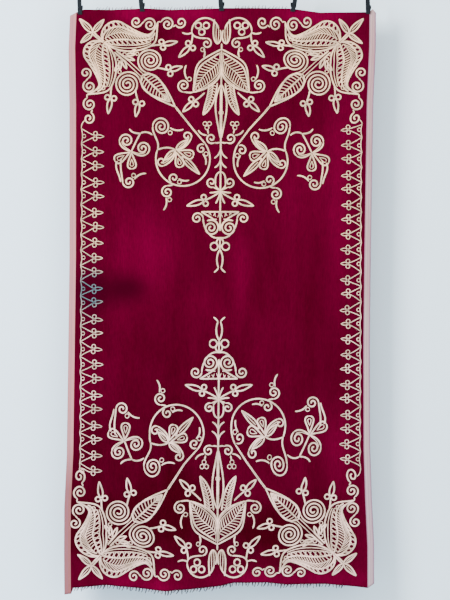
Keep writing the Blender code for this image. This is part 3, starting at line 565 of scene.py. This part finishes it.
def axis_figure():
    """Arch, bud, palmette, barbs, cup, fan, triangle, bowl and prongs, from the end inwards."""
    made = Figure()
    crown, curl, lower, in_cup, small, big = [rim_place(row) for row in AXIS_SCROLLS]
    x, y, radius = ARCH
    lines = [arc(x, y, radius, 190, 360), curve(x + radius, y, 90, *crown, 180)]
    lines += [bowed(0, 69, 0, 81), bowed(0, STEM[0], 0, STEM[1])]
    for x, y, bearing, length in TAILS:
        lines.append(curve(x, y, bearing + 30, *ray(x, y, bearing, length), bearing - 30))
    lines.append(curve(*AXIS_LEAVES[0][3:5], 20, *curl, 0))
    lines.append(curve(*lower, 150, 0, lower[1], 180))
    lines.append(bowed(25, 249, 27, 240))
    for top, reach, drop in BARBS:
        lines.append(curve(0, top, 88, reach, top + drop, 30))
    top, half, height = CUP
    lines.append(curve(0, top, 10, half, top + 0.7 * height, 95))
    lines.append(curve(half, top + 0.7 * height, 95, 0, top + height, 150))
    lines.append(bowed(*in_cup, 0, top + height))
    for bearing, length in FAN[1:]:
        lines.append(bowed(0, FAN[0], *ray(0, FAN[0], bearing, length), 10))
    top, half, height = TRIANGLE
    lines += [bowed(0, top, half, top), curve(half, top, 150, 0, top + height, 95)]
    for k in range(3):
        made.fine.append(bowed(3 + 9 * k, top + 1, 9 * k, top + 13 - 3 * k))
        made.fine.append(bowed(9 * k, top + 1, 5 + 9 * k, top + 11 - 3 * k))
    lines.append(curve(*small, 90, 0, BOWL_FOOT, 200))
    lines.append(bowed(ray(*AXIS_SCROLLS[5][:2], 200, 12)[0], big[1] - 3, *big))
    top, foot, half, reach = PRONGS
    lines.append(bowed(0, BOWL_FOOT, 0, top))
    lines.append(curve(0, top, 60, half / 2, foot, 110))
    lines.append(bowed(half / 2, foot, half / 2 + reach, foot + reach, 10))
    lines.append(curve(0, BOWL_FOOT, 40, 0, top - 4, 140, 0.6))
    made.wide += lines
    for row in AXIS_SCROLLS:
        made.wide.append(scroll(*row))
    for row in AXIS_FLORETS:
        made.floret(*row)
    for row in AXIS_RINGS:
        (made.wide if row[2] > 5 else made.fine).append(arc(*row, 0, 360))
    for k, (x, y, leaves, tip_x, tip_y, arrives, back, end_x, end_y, ends) in enumerate(AXIS_LEAVES):
        near = curve(x, y, leaves, tip_x, tip_y, arrives, LEAF_PULLS[k])
        far = curve(tip_x, tip_y, back, end_x, end_y, ends)[::-1]
        made.wide += [near, far]
        edges = [resampled(near, 60), resampled(far, 60)]
        if k == 0:
            made.wide.append(blend(*edges, 0.14)[3:-4])
            for share in (0.86, 0.94):
                made.fine.append(blend(*edges, share)[3:-6])
            made.feather(blend(*edges, 0.14), blend(*edges, 0.86), 5.6, 0.5, (8, 3))
            made.fine += [bowed(0, 81, 0, 121), bowed(3, 85, 2.5, 119)]
        elif k == 1:
            made.feather(*edges, 5.4, 0.5, (8, 3))
        elif k == 3:
            for share in (0.35, 0.68):
                made.fine.append(blend(*edges, share)[3:-3])
    return made


def placed(name, side, p, q):
    low = min(max((250 - q) / 150, 0.0), 1.0)
    p += between(DRIFT[name], q, 1) * (1 + low * (p / 200 - 1)) * (1 if p > 0 else 0)
    q += between(DRIFT[name], q, 2)
    z = -q * CHART_SCALE if "upper" in name else CHART_FOOT + q * CHART_SCALE
    return AXIS_TOP + AXIS_LEAN * z + side * p * CHART_SCALE, z


# Meshes

def tidy_object(name, mesh, material):
    mesh.materials.append(material)
    piece = bpy.data.objects.new(name, mesh)
    bpy.context.scene.collection.objects.link(piece)
    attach(piece, "root")
    return piece


def turn_outwards(mesh):
    """Face every closed shell of a mesh outwards."""
    shells = bmesh.new()
    shells.from_mesh(mesh)
    bmesh.ops.recalc_face_normals(shells, faces=shells.faces)
    shells.to_mesh(mesh)
    shells.free()


def laid_braid(name, lines, height, material):
    """Flat domed braid along every line, on a dark bed of pressed pile and painted shade round the braid.

    lines holds (points, width) in millimetres.
    """
    # Rows: side, beyond the width, sinking, rise, across. The first two rows on each side bound the dark bed of
    # pressed pile and painted shade.
    half = (
        (-0.5, SHADE_BED_WIDTH, -0.1, 0.0, 0.0), (-0.5, 0.0, 0.3, 0.0, 0.1), (-0.40, 0.0, 0.0, 0.75, 0.18),
        (0.0, 0.0, 0.0, 1.0, 0.5),
    )
    profile = half + tuple((-a, b, c, d, 1 - v) for a, b, c, d, v in reversed(half[:-1]))
    vertices, faces, along, across, tones = [], [], [], [], []
    half_cloth = bpy.context.scene.hanging_sizes.cloth_thickness / MM / 2
    rng = random.Random(name)
    for points, width in lines:
        if len(points) < 2:
            continue
        run, start, lift = rng.uniform(0, 50), len(vertices), rng.uniform(0.0, 0.25)
        for k, (x, z) in enumerate(points):
            before, after = points[max(k - 1, 0)], points[min(k + 1, len(points) - 1)]
            tangent = Vector((after[0] - before[0], after[1] - before[1]))
            tangent = tangent.normalized() if tangent.length > 1e-6 else Vector((1, 0))
            run += math.dist((x, z), before)
            y = cloth_y(x, z) - half_cloth
            uneven = 1 + 0.06 * math.sin(run * 0.9) + 0.04 * math.sin(run * 0.31)
            uneven *= (0.55, 0.85, 1.0)[min(k, len(points) - 1 - k, 2)]
            for side, beyond, low, rise, v in profile:
                out = side * width * uneven + math.copysign(beyond, side)
                forward = low * (0.6 + 2 * lift) + rise * (height + lift)
                vertices.append(((x - tangent.y * out) * MM, (y - forward) * MM, (z + tangent.x * out) * MM))
                along.append(run * MM)
                across.append(v)
                tones.append(patch(STAINS, x, z))
        n, count = len(profile), len(points)
        for k in range(count - 1):
            a = start + k * n
            for i in range(n):
                j = (i + 1) % n
                faces.append((a + i, a + n + i, a + n + j, a + j))
        faces.append(tuple(start + i for i in range(n)))
        faces.append(tuple(start + (count - 1) * n + i for i in reversed(range(n))))
    mesh = bpy.data.meshes.new(name)
    mesh.from_pydata(vertices, [], faces)
    uv = mesh.uv_layers.new(name="braid")
    for loop in mesh.loops:
        uv.data[loop.index].uv = (along[loop.vertex_index], across[loop.vertex_index])
    mesh.attributes.new("stain", "FLOAT", "POINT").data.foreach_set("value", tones)
    turn_outwards(mesh)
    mesh.shade_smooth()
    return tidy_object(name, mesh, material)


# Materials

def new_material(name):
    material = bpy.data.materials.new(name)
    material.use_nodes = True
    return material, material.node_tree, material.node_tree.nodes["Principled BSDF"]


def node(tree, kind, **values):
    """A new node with its sockets or settings given by name."""
    made = tree.nodes.new(kind)
    for key, value in values.items():
        if key in made.inputs:
            made.inputs[key].default_value = value
        else:
            setattr(made, key, value)
    return made


def mixed(tree, factor, a, b, blend="MIX"):
    mix = tree.nodes.new("ShaderNodeMix")
    mix.data_type = "RGBA"
    mix.blend_type = blend
    for socket, value in ((mix.inputs[0], factor), (mix.inputs[6], a), (mix.inputs[7], b)):
        if isinstance(value, bpy.types.NodeSocket):
            tree.links.new(value, socket)
        elif isinstance(value, (int, float)):
            socket.default_value = value
        else:
            socket.default_value = (*value, 1.0)
    return mix.outputs[2]


def ramp(tree, value, low, high, to_low=0.0, to_high=1.0):
    made = tree.nodes.new("ShaderNodeMapRange")
    made.inputs["From Min"].default_value = low
    made.inputs["From Max"].default_value = high
    made.inputs["To Min"].default_value = to_low
    made.inputs["To Max"].default_value = to_high
    tree.links.new(value, made.inputs["Value"])
    return made.outputs[0]


def maths(tree, operation, *values):
    """The result of a Math node. Each value is a number or a socket."""
    made = node(tree, "ShaderNodeMath", operation=operation)
    for socket, value in zip(made.inputs, values):
        if isinstance(value, bpy.types.NodeSocket):
            tree.links.new(value, socket)
        else:
            socket.default_value = value
    return made.outputs[0]


def split(tree, vector):
    """The three parts of a vector."""
    made = tree.nodes.new("ShaderNodeSeparateXYZ")
    tree.links.new(vector, made.inputs[0])
    return made.outputs


def cloudy(tree, place, scale, detail):
    made = node(tree, "ShaderNodeTexNoise", Scale=scale, Detail=detail)
    tree.links.new(place, made.inputs["Vector"])
    return made.outputs[0]


def raise_by(tree, shader, height, strength, distance):
    """Fine relief on a shader's surface."""
    relief = node(tree, "ShaderNodeBump", Strength=strength, Distance=distance)
    tree.links.new(height, relief.inputs["Height"])
    tree.links.new(relief.outputs[0], shader.inputs["Normal"])


def attribute(tree, name):
    return node(tree, "ShaderNodeAttribute", attribute_name=name).outputs["Fac"]


def thread_group():
    """Fine crossing grain of thread, shared by the cloth and the loose threads."""
    tree = bpy.data.node_groups.new("thread_grain", "ShaderNodeTree")
    sockets = (("Vector", "INPUT", "Vector"), ("Scale", "INPUT", "Float"), ("Value", "OUTPUT", "Float"))
    for name, way, kind in sockets:
        tree.interface.new_socket(name, in_out=way, socket_type=f"NodeSocket{kind}")
    entry, leave = tree.nodes.new("NodeGroupInput"), tree.nodes.new("NodeGroupOutput")
    stretch = node(tree, "ShaderNodeVectorMath", operation="MULTIPLY")
    stretch.inputs[1].default_value = (1.0, 1.0, 0.18)
    noise = node(tree, "ShaderNodeTexNoise", Detail=4.0, Roughness=0.65)
    tree.links.new(entry.outputs["Vector"], stretch.inputs[0])
    tree.links.new(stretch.outputs[0], noise.inputs["Vector"])
    tree.links.new(entry.outputs["Scale"], noise.inputs["Scale"])
    tree.links.new(noise.outputs[0], leave.inputs["Value"])
    return tree


def grain(tree, vector, scale):
    made = tree.nodes.new("ShaderNodeGroup")
    made.node_tree = bpy.data.node_groups.get("thread_grain") or thread_group()
    made.inputs["Scale"].default_value = scale
    tree.links.new(vector, made.inputs["Vector"])
    return made.outputs["Value"]


def velvet_material():
    colours = bpy.context.scene.hanging_colours
    material, tree, shader = new_material("velvet_pile")
    place = tree.nodes.new("ShaderNodeTexCoord").outputs["Object"]
    streak, speck = grain(tree, place, 26.0), grain(tree, place, 420.0)
    cloud = cloudy(tree, place, 7.0, 3.0)
    # Random grain and cloud give the pile's own tone; the patch attribute adds painted sheen and shade.
    sheen_and_tone = maths(tree, "ADD", ramp(tree, streak, 0.3, 0.7, -0.16, 0.16), attribute(tree, "sheen_and_tone"))
    sheen_and_tone = maths(tree, "ADD", sheen_and_tone, ramp(tree, cloud, 0.3, 0.7, -0.12, 0.16))
    bright = ramp(tree, sheen_and_tone, -0.5, 1.0)
    # The dimmed base and the bright colour are a painted shaded and lit copy of the pile, mixed by tone and
    # painted sheen.
    pile = mixed(tree, bright, [c * 0.55 for c in colours.velvet], colours.velvet_sheen_and_tone)
    dark_speck = ramp(tree, speck, 0.35, 0.7, 0.0, 0.3)
    pile = mixed(tree, dark_speck, pile, (0.0, 0.0, 0.0), "MULTIPLY")
    pile = mixed(tree, attribute(tree, "stain"), pile, colours.velvet_stain)
    blot = ramp(tree, grain(tree, place, 16.0), 0.42, 0.7)
    across, _, height = split(tree, place)
    right = ramp(tree, across, -0.1, 0.1)
    edge = mixed(tree, right, colours.selvedge, (0.34, 0.24, 0.225))
    edge = mixed(tree, blot, edge, (0.29, 0.13, 0.125))
    soiled = ramp(tree, height, -0.87, -0.97, 0.0, 0.85)
    soil = mixed(tree, right, (0.17, 0.055, 0.055), (0.34, 0.24, 0.255))
    edge = mixed(tree, soiled, edge, soil)
    # The line attribute gives the woven stripes, and the painted shadow beside the pile's edge.
    edge = mixed(tree, attribute(tree, "line"), edge, (0.17, 0.075, 0.13))
    tree.links.new(mixed(tree, attribute(tree, "selvedge"), pile, edge), shader.inputs["Base Color"])
    shader.inputs["Roughness"].default_value = 0.9
    shader.inputs["Sheen Weight"].default_value = 0.08
    shader.inputs["Sheen Roughness"].default_value = 0.35
    shader.inputs["Sheen Tint"].default_value = (0.9, 0.0, 0.2, 1.0)
    shader.inputs["Specular IOR Level"].default_value = 0.0
    raise_by(tree, shader, speck, 0.35, 0.0006)
    return material


def braid_material():
    colours = bpy.context.scene.hanging_colours
    material, tree, shader = new_material("couched_braid")
    along, across, _ = split(tree, node(tree, "ShaderNodeUVMap", uv_map="braid").outputs[0])
    slant = maths(tree, "PINGPONG", across, 0.5)
    skew = maths(tree, "MULTIPLY_ADD", slant, PLAIT_SLANT, along)
    plait = maths(tree, "SINE", maths(tree, "MULTIPLY", skew, math.tau / PLAIT_PITCH))
    place = tree.nodes.new("ShaderNodeTexCoord").outputs["Object"]
    tarnish = cloudy(tree, place, 38.0, 4.0)
    upper = ramp(tree, split(tree, place)[2], -0.72, -0.42)
    fresh = mixed(tree, upper, colours.braid_rosy, colours.braid)
    # Painted shade in the hollows between the plaits.
    hollow = ramp(tree, plait, -1.0, 0.2, 0.4, 0.0)
    colour = mixed(tree, hollow, fresh, colours.braid_dark)
    # Painted shade along both rims of the domed braid, leaving its middle bright.
    rim = ramp(tree, slant, 0.1, 0.32, 0.95, 0.0)
    colour = mixed(tree, rim, colour, [c * 0.6 for c in colours.braid_dark])
    worn = ramp(tree, tarnish, 0.40, 0.62, 0.0, 0.65)
    colour = mixed(tree, worn, colour, [c * 1.3 for c in colours.braid_dark])
    colour = mixed(tree, attribute(tree, "stain"), colour, (0.085, 0.12, 0.135))
    # Outside the braid's edge the bed takes the pressed-pile colour: pressed pile and painted shade round the
    # braid.
    on_braid = ramp(tree, slant, 0.085, 0.1)
    colour = mixed(tree, on_braid, colours.pressed_pile_and_shade, colour)
    tree.links.new(colour, shader.inputs["Base Color"])
    shader.inputs["Roughness"].default_value = 0.6
    shader.inputs["Specular IOR Level"].default_value = 0.25
    raise_by(tree, shader, plait, 0.6, 0.0005)
    return material


def thread_material():
    material, tree, shader = new_material("loose_thread")
    place = tree.nodes.new("ShaderNodeTexCoord").outputs["Object"]
    shade = ramp(tree, grain(tree, place, 300.0), 0.3, 0.7, -0.12, 0.12)
    tone = maths(tree, "ADD", shade, attribute(tree, "tone"))
    pale = ramp(tree, tone, 0.35, 0.65)
    colour = mixed(tree, pale, (0.010, 0.005, 0.010), (0.6, 0.56, 0.58))
    crimson = ramp(tree, tone, 1.6, 1.8)
    colour = mixed(tree, crimson, colour, (0.25, 0.004, 0.06))
    tree.links.new(colour, shader.inputs["Base Color"])
    shader.inputs["Roughness"].default_value = 0.9
    return material


def plastic_material():
    material, tree, shader = new_material("clip_plastic")
    place = tree.nodes.new("ShaderNodeTexCoord").outputs["Object"]
    scuff = cloudy(tree, place, 260.0, 3.0)
    black = mixed(tree, scuff, (0.002, 0.003, 0.004), (0.009, 0.011, 0.014))
    tree.links.new(black, shader.inputs["Base Color"])
    tree.links.new(ramp(tree, scuff, 0.3, 0.7, 0.45, 0.65), shader.inputs["Roughness"])
    shader.inputs["Specular IOR Level"].default_value = 0.06
    raise_by(tree, shader, scuff, 0.2, 0.0002)
    return material


class HANGING_OT_velvet(bpy.types.Operator):
    """Lay the velvet cloth with its selvedges on the frame"""

    bl_idname = "hanging.velvet"
    bl_label = "Velvet cloth"

    def execute(self, context):
        edge = [0.0, 1.2, 2.2, 5.0, 6.2, 7.4, 10.2, SELVEDGE - 0.8, SELVEDGE - 0.1, SELVEDGE + 0.6]
        inner = CLOTH_WIDTH - 2 * EDGE_BAND
        middle = [EDGE_BAND + inner * k / CLOTH_STEPS for k in range(CLOTH_STEPS + 1)]
        places = edge + middle + [CLOTH_WIDTH - x for x in reversed(edge)]
        points, faces, sheen_and_tone, stain, selvedge, line = [], [], [], [], [], []
        for j in range(CLOTH_ROWS + 1):
            for x in places:
                point = cloth_point(x / CLOTH_WIDTH, j / CLOTH_ROWS)
                from_edge = min(x, CLOTH_WIDTH - x)
                points.append(point * MM)
                # Painted sheen and shade of the pile at this point.
                sheen_and_tone.append(patch(PILE_SHEEN_AND_SHADE, point.x, point.z))
                stain.append(min(1.0, patch(STAINS, point.x, point.z)))
                selvedge.append(1.0 if from_edge < SELVEDGE else 0.0)
                line.append(between(STRIPES_AND_EDGE_SHADOW, from_edge, 1 if x < CLOTH_WIDTH / 2 else 2))
        wide = len(places)
        for j in range(CLOTH_ROWS):
            for i in range(wide - 1):
                a = j * wide + i
                faces.append((a, a + wide, a + wide + 1, a + 1))
        mesh = bpy.data.meshes.new("velvet")
        mesh.from_pydata(points, [], faces)
        for name, values in (("sheen_and_tone", sheen_and_tone), ("stain", stain), ("selvedge", selvedge), ("line", line)):
            mesh.attributes.new(name, "FLOAT", "POINT").data.foreach_set("value", values)
        mesh.shade_smooth()
        cloth = tidy_object("velvet", mesh, velvet_material())
        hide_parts("velvet_panel")
        solid = cloth.modifiers.new("thickness", "SOLIDIFY")
        solid.thickness = context.scene.hanging_sizes.cloth_thickness
        solid.offset = 0.0
        bpy.ops.object.select_all(action="DESELECT")
        context.view_layer.objects.active = cloth
        cloth.select_set(True)
        bpy.ops.object.modifier_apply(modifier="thickness")
        return {"FINISHED"}


def dressed(context, name, parts, material):
    """One braid piece in place of its node. parts holds (chart name, side, figure)."""
    sizes = context.scene.hanging_sizes
    lines = []
    for part, side, figure in parts:
        for group, width in ((figure.wide, sizes.braid_width / MM), (figure.fine, sizes.rib_width / MM)):
            lines += [([placed(part, side, p, q) for p, q in line], width) for line in group]
    piece = laid_braid(f"{name}_laid", lines, sizes.braid_height / MM, material)
    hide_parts(name)


class HANGING_OT_quarters(bpy.types.Operator):
    """Couch the braid of the four quarters"""

    bl_idname = "hanging.quarters"
    bl_label = "Braid of the quarters"

    def execute(self, context):
        figure = quarter_figure()
        material = bpy.data.materials.get("couched_braid") or braid_material()
        for name, side in (("upper_left", -1), ("upper_right", 1), ("lower_left", -1), ("lower_right", 1)):
            dressed(context, f"braid_{name}", [(name, side, figure)], material)
        return {"FINISHED"}


class HANGING_OT_axis(bpy.types.Operator):
    """Couch the braid on the axis"""

    bl_idname = "hanging.axis"
    bl_label = "Braid of the axis"

    def execute(self, context):
        figure = axis_figure()
        material = bpy.data.materials.get("couched_braid") or braid_material()
        for name in ("axis_upper", "axis_lower"):
            dressed(context, f"braid_{name}", [(name, side, figure) for side in (-1, 1)], material)
        return {"FINISHED"}


class HANGING_OT_borders(bpy.types.Operator):
    """Couch the two side borders"""

    bl_idname = "hanging.borders"
    bl_label = "Side borders"

    def execute(self, context):
        material = bpy.data.materials.get("couched_braid") or braid_material()
        sizes = context.scene.hanging_sizes
        for name, top_x, top_z, foot_x, foot_z, first_z, last_z, knot, tip in BORDERS:
            pitch = (last_z - first_z) / (BORDER_UNITS - 1)
            inward = 1 if knot > 0 else -1
            lines = []
            rng = random.Random(name)

            def line_x(z):
                return top_x + (foot_x - top_x) * (z - top_z) / (foot_z - top_z)

            for k in range(BORDER_UNITS):
                z = first_z + pitch * (k + 0.06 * math.sin(2.7 * k))
                above = min(first_z + pitch * (k - 0.5), top_z)
                below = max(first_z + pitch * (k + 0.5), foot_z)
                place = line_x(z) + knot + rng.uniform(-1.2, 1.2)
                lines.append(bowed(line_x(above), above, line_x(below), below, 17 * inward))
                heading = 0 if inward > 0 else 180
                for end, turn in ((above, -1), (below, 1)):
                    lines.append(curve(
                        line_x(end), end, heading + turn * inward * rng.uniform(22, 40), place - 2 * inward,
                        z - turn * 1.5, heading + turn * inward * rng.uniform(20, 34)))
                lines.append(arc(line_x(z) + 5.6 * inward, z + rng.uniform(-1, 1), 3.5, 0, 360))
                flower = Figure()
                bearing = (0 if inward > 0 else 180) + rng.uniform(-6, 6)
                flower.floret(place - 3 * inward, z, place, z, bearing, abs(tip - knot), 0.8)
                lines += flower.wide
            for z, line_end, up in (
                (min(first_z - 0.5 * pitch, top_z), top_z, 1),
                (max(last_z + 0.5 * pitch, foot_z), foot_z, -1),
            ):
                arrives = 30 * up if inward > 0 else 180 - 30 * up
                x = line_x(z)
                lines.append(curve(x, z, 90 * up, x + 8 * inward, line_end + 11 * up, arrives))
            piece = laid_braid(
                f"{name}_laid", [(line, sizes.border_width / MM) for line in lines],
                sizes.braid_height / MM * 0.85, material)
            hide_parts(name)
        return {"FINISHED"}


class HANGING_OT_threads(bpy.types.Operator):
    """Fray both cut edges"""

    bl_idname = "hanging.threads"
    bl_label = "Frayed threads"

    def execute(self, context):
        material = thread_material()
        for name, start, end, count, usual, which in FRAYS:
            rng = random.Random(name)
            down, away = (0.0, 1) if which == "upper" else (1.0, -1)
            vertices, faces, tones = [], [], []
            for k in range(count):
                x = start + (end - start) * (k + rng.random()) / count
                tuft = k % 5 == 0
                tone = rng.uniform(0.1, 0.35) if tuft else rng.choice((0.6, 0.9, 1.0, 0.3, 2.0))
                root = cloth_point(cloth_shares(x, -1170.0 if away < 0 else 0.0)[0], down)
                length, lean = usual * rng.uniform(0.5, 1.15), rng.uniform(-1.0, 4.5) * away
                forward = rng.uniform(-0.8, 0.8)
                thick = rng.uniform(0.25, 0.5)
                if tuft:
                    length, thick = length + 2.5, rng.uniform(1.3, 2.1) if away < 0 else 0.9
                first = len(vertices)
                for step in range(5):
                    t = step / 4
                    centre = Vector((
                        x + lean * t * t, root.y + forward * t, root.z + away * (length * t - 1.2)))
                    for corner in range(3):
                        angle = math.tau * corner / 3
                        width = thick * (1 - 0.4 * t)
                        vertices.append((centre + Vector((
                            width * math.cos(angle), width * math.sin(angle), 0))) * MM)
                        tones.append(tone)
                for step in range(4):
                    a = first + 3 * step
                    for i in range(3):
                        j = (i + 1) % 3
                        faces.append((a + i, a + j, a + 3 + j, a + 3 + i))
                faces.append((first + 2, first + 1, first))
                faces.append((first + 12, first + 13, first + 14))
            mesh = bpy.data.meshes.new(f"{name}_threads")
            mesh.from_pydata(vertices, [], faces)
            mesh.attributes.new("tone", "FLOAT", "POINT").data.foreach_set("value", tones)
            turn_outwards(mesh)
            piece = tidy_object(f"{name}_threads", mesh, material)
            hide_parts(name)
        return {"FINISHED"}


class HANGING_OT_clips(bpy.types.Operator):
    """Finish the spring clips"""

    bl_idname = "hanging.clips"
    bl_label = "Spring clips"

    def execute(self, context):
        material = plastic_material()
        for name, cad_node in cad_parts.items():
            if name.startswith("clip_"):
                for slot in cad_node.material_slots:
                    slot.material = material
        return {"FINISHED"}


class HANGING_OT_stage(bpy.types.Operator):
    """Set up the wall, floor, light and camera"""

    bl_idname = "hanging.stage"
    bl_label = "Stage"

    def execute(self, context):
        wall, tree, shader = new_material("plain_wall")
        shader.inputs["Roughness"].default_value = 0.95
        place = tree.nodes.new("ShaderNodeTexCoord").outputs["Object"]
        shade = ramp(tree, split(tree, place)[0], -0.45, 0.5)
        paint = mixed(tree, shade, (0.62, 0.73, 0.82), (0.63, 0.73, 0.8))
        tree.links.new(paint, shader.inputs["Base Color"])
        clear, seen = tree.nodes.new("ShaderNodeBsdfTransparent"), tree.nodes.new("ShaderNodeMixShader")
        tree.links.new(tree.nodes.new("ShaderNodeNewGeometry").outputs["Backfacing"], seen.inputs[0])
        tree.links.new(shader.outputs[0], seen.inputs[1])
        tree.links.new(clear.outputs[0], seen.inputs[2])
        tree.links.new(seen.outputs[0], tree.nodes["Material Output"].inputs["Surface"])
        for name, location, turn in (
            ("wall", (0, WALL_BEHIND, -0.3), (math.pi / 2, 0, 0)),
            ("floor", (0, -1.5, FLOOR_HEIGHT), (0, 0, 0)),
        ):
            bpy.ops.object.select_all(action="DESELECT")
            bpy.ops.mesh.primitive_plane_add(size=6, location=location, rotation=turn)
            plane = context.object
            plane.name = name
            bpy.ops.object.transform_apply(location=True, rotation=True, scale=True)
            plane.data.materials.append(wall)
        for name, spot, size, power in (
            ("key", (-1.9, -2.4, 0.7), 1.3, 268.0), ("fill", (1.6, -2.8, -0.3), 2.2, 62.0),
        ):
            light = bpy.data.objects.new(name, bpy.data.lights.new(name, "AREA"))
            light.data.size = size
            light.data.energy = power
            light.data.color = (0.93, 0.97, 1.0)
            light.location = spot
            light.rotation_euler = (Vector((0, 0, -0.6)) - Vector(spot)).to_track_quat("-Z", "Y").to_euler()
            context.scene.collection.objects.link(light)
        world = context.scene.world or bpy.data.worlds.new("studio")
        context.scene.world = world
        world.use_nodes = True
        world.node_tree.nodes["Background"].inputs[0].default_value = (1.0, 0.99, 0.96, 1.0)
        world.node_tree.nodes["Background"].inputs[1].default_value = 1.38
        camera = bpy.data.objects.new("camera", bpy.data.cameras.new("camera"))
        camera.data.lens = camera.data.sensor_width * CAMERA_AWAY / VIEW_HEIGHT
        camera.location = (0.004, -CAMERA_AWAY, -0.5858)
        camera.rotation_euler = (math.pi / 2, 0, 0)
        context.scene.collection.objects.link(camera)
        context.scene.camera = camera
        return {"FINISHED"}


STEPS = (
    HANGING_OT_velvet, HANGING_OT_quarters, HANGING_OT_axis, HANGING_OT_borders,
    HANGING_OT_threads, HANGING_OT_clips, HANGING_OT_stage,
)


class HANGING_PT_panel(bpy.types.Panel):
    """Lists the pieces of the hanging panel."""

    bl_idname = "HANGING_PT_panel"
    bl_label = "Velvet hanging panel"
    bl_space_type = "VIEW_3D"
    bl_region_type = "UI"
    bl_category = "Hanging"

    def draw(self, context):
        for group in (context.scene.hanging_sizes, context.scene.hanging_colours):
            for name in group.__annotations__:
                self.layout.prop(group, name)
        for step in STEPS:
            self.layout.operator(step.bl_idname)


CLASSES = (HANGING_PG_sizes, HANGING_PG_colours, *STEPS, HANGING_PT_panel)


def register():
    for cls in CLASSES:
        bpy.utils.register_class(cls)
    bpy.types.Scene.hanging_sizes = PointerProperty(type=HANGING_PG_sizes)
    bpy.types.Scene.hanging_colours = PointerProperty(type=HANGING_PG_colours)


def unregister():
    del bpy.types.Scene.hanging_colours
    del bpy.types.Scene.hanging_sizes
    for cls in reversed(CLASSES):
        bpy.utils.unregister_class(cls)


def main():
    register()
    bpy.ops.hanging.velvet()
    bpy.ops.hanging.quarters()
    bpy.ops.hanging.axis()
    bpy.ops.hanging.borders()
    bpy.ops.hanging.threads()
    bpy.ops.hanging.clips()
    bpy.ops.hanging.stage()


if __name__ == "__main__":
    main()
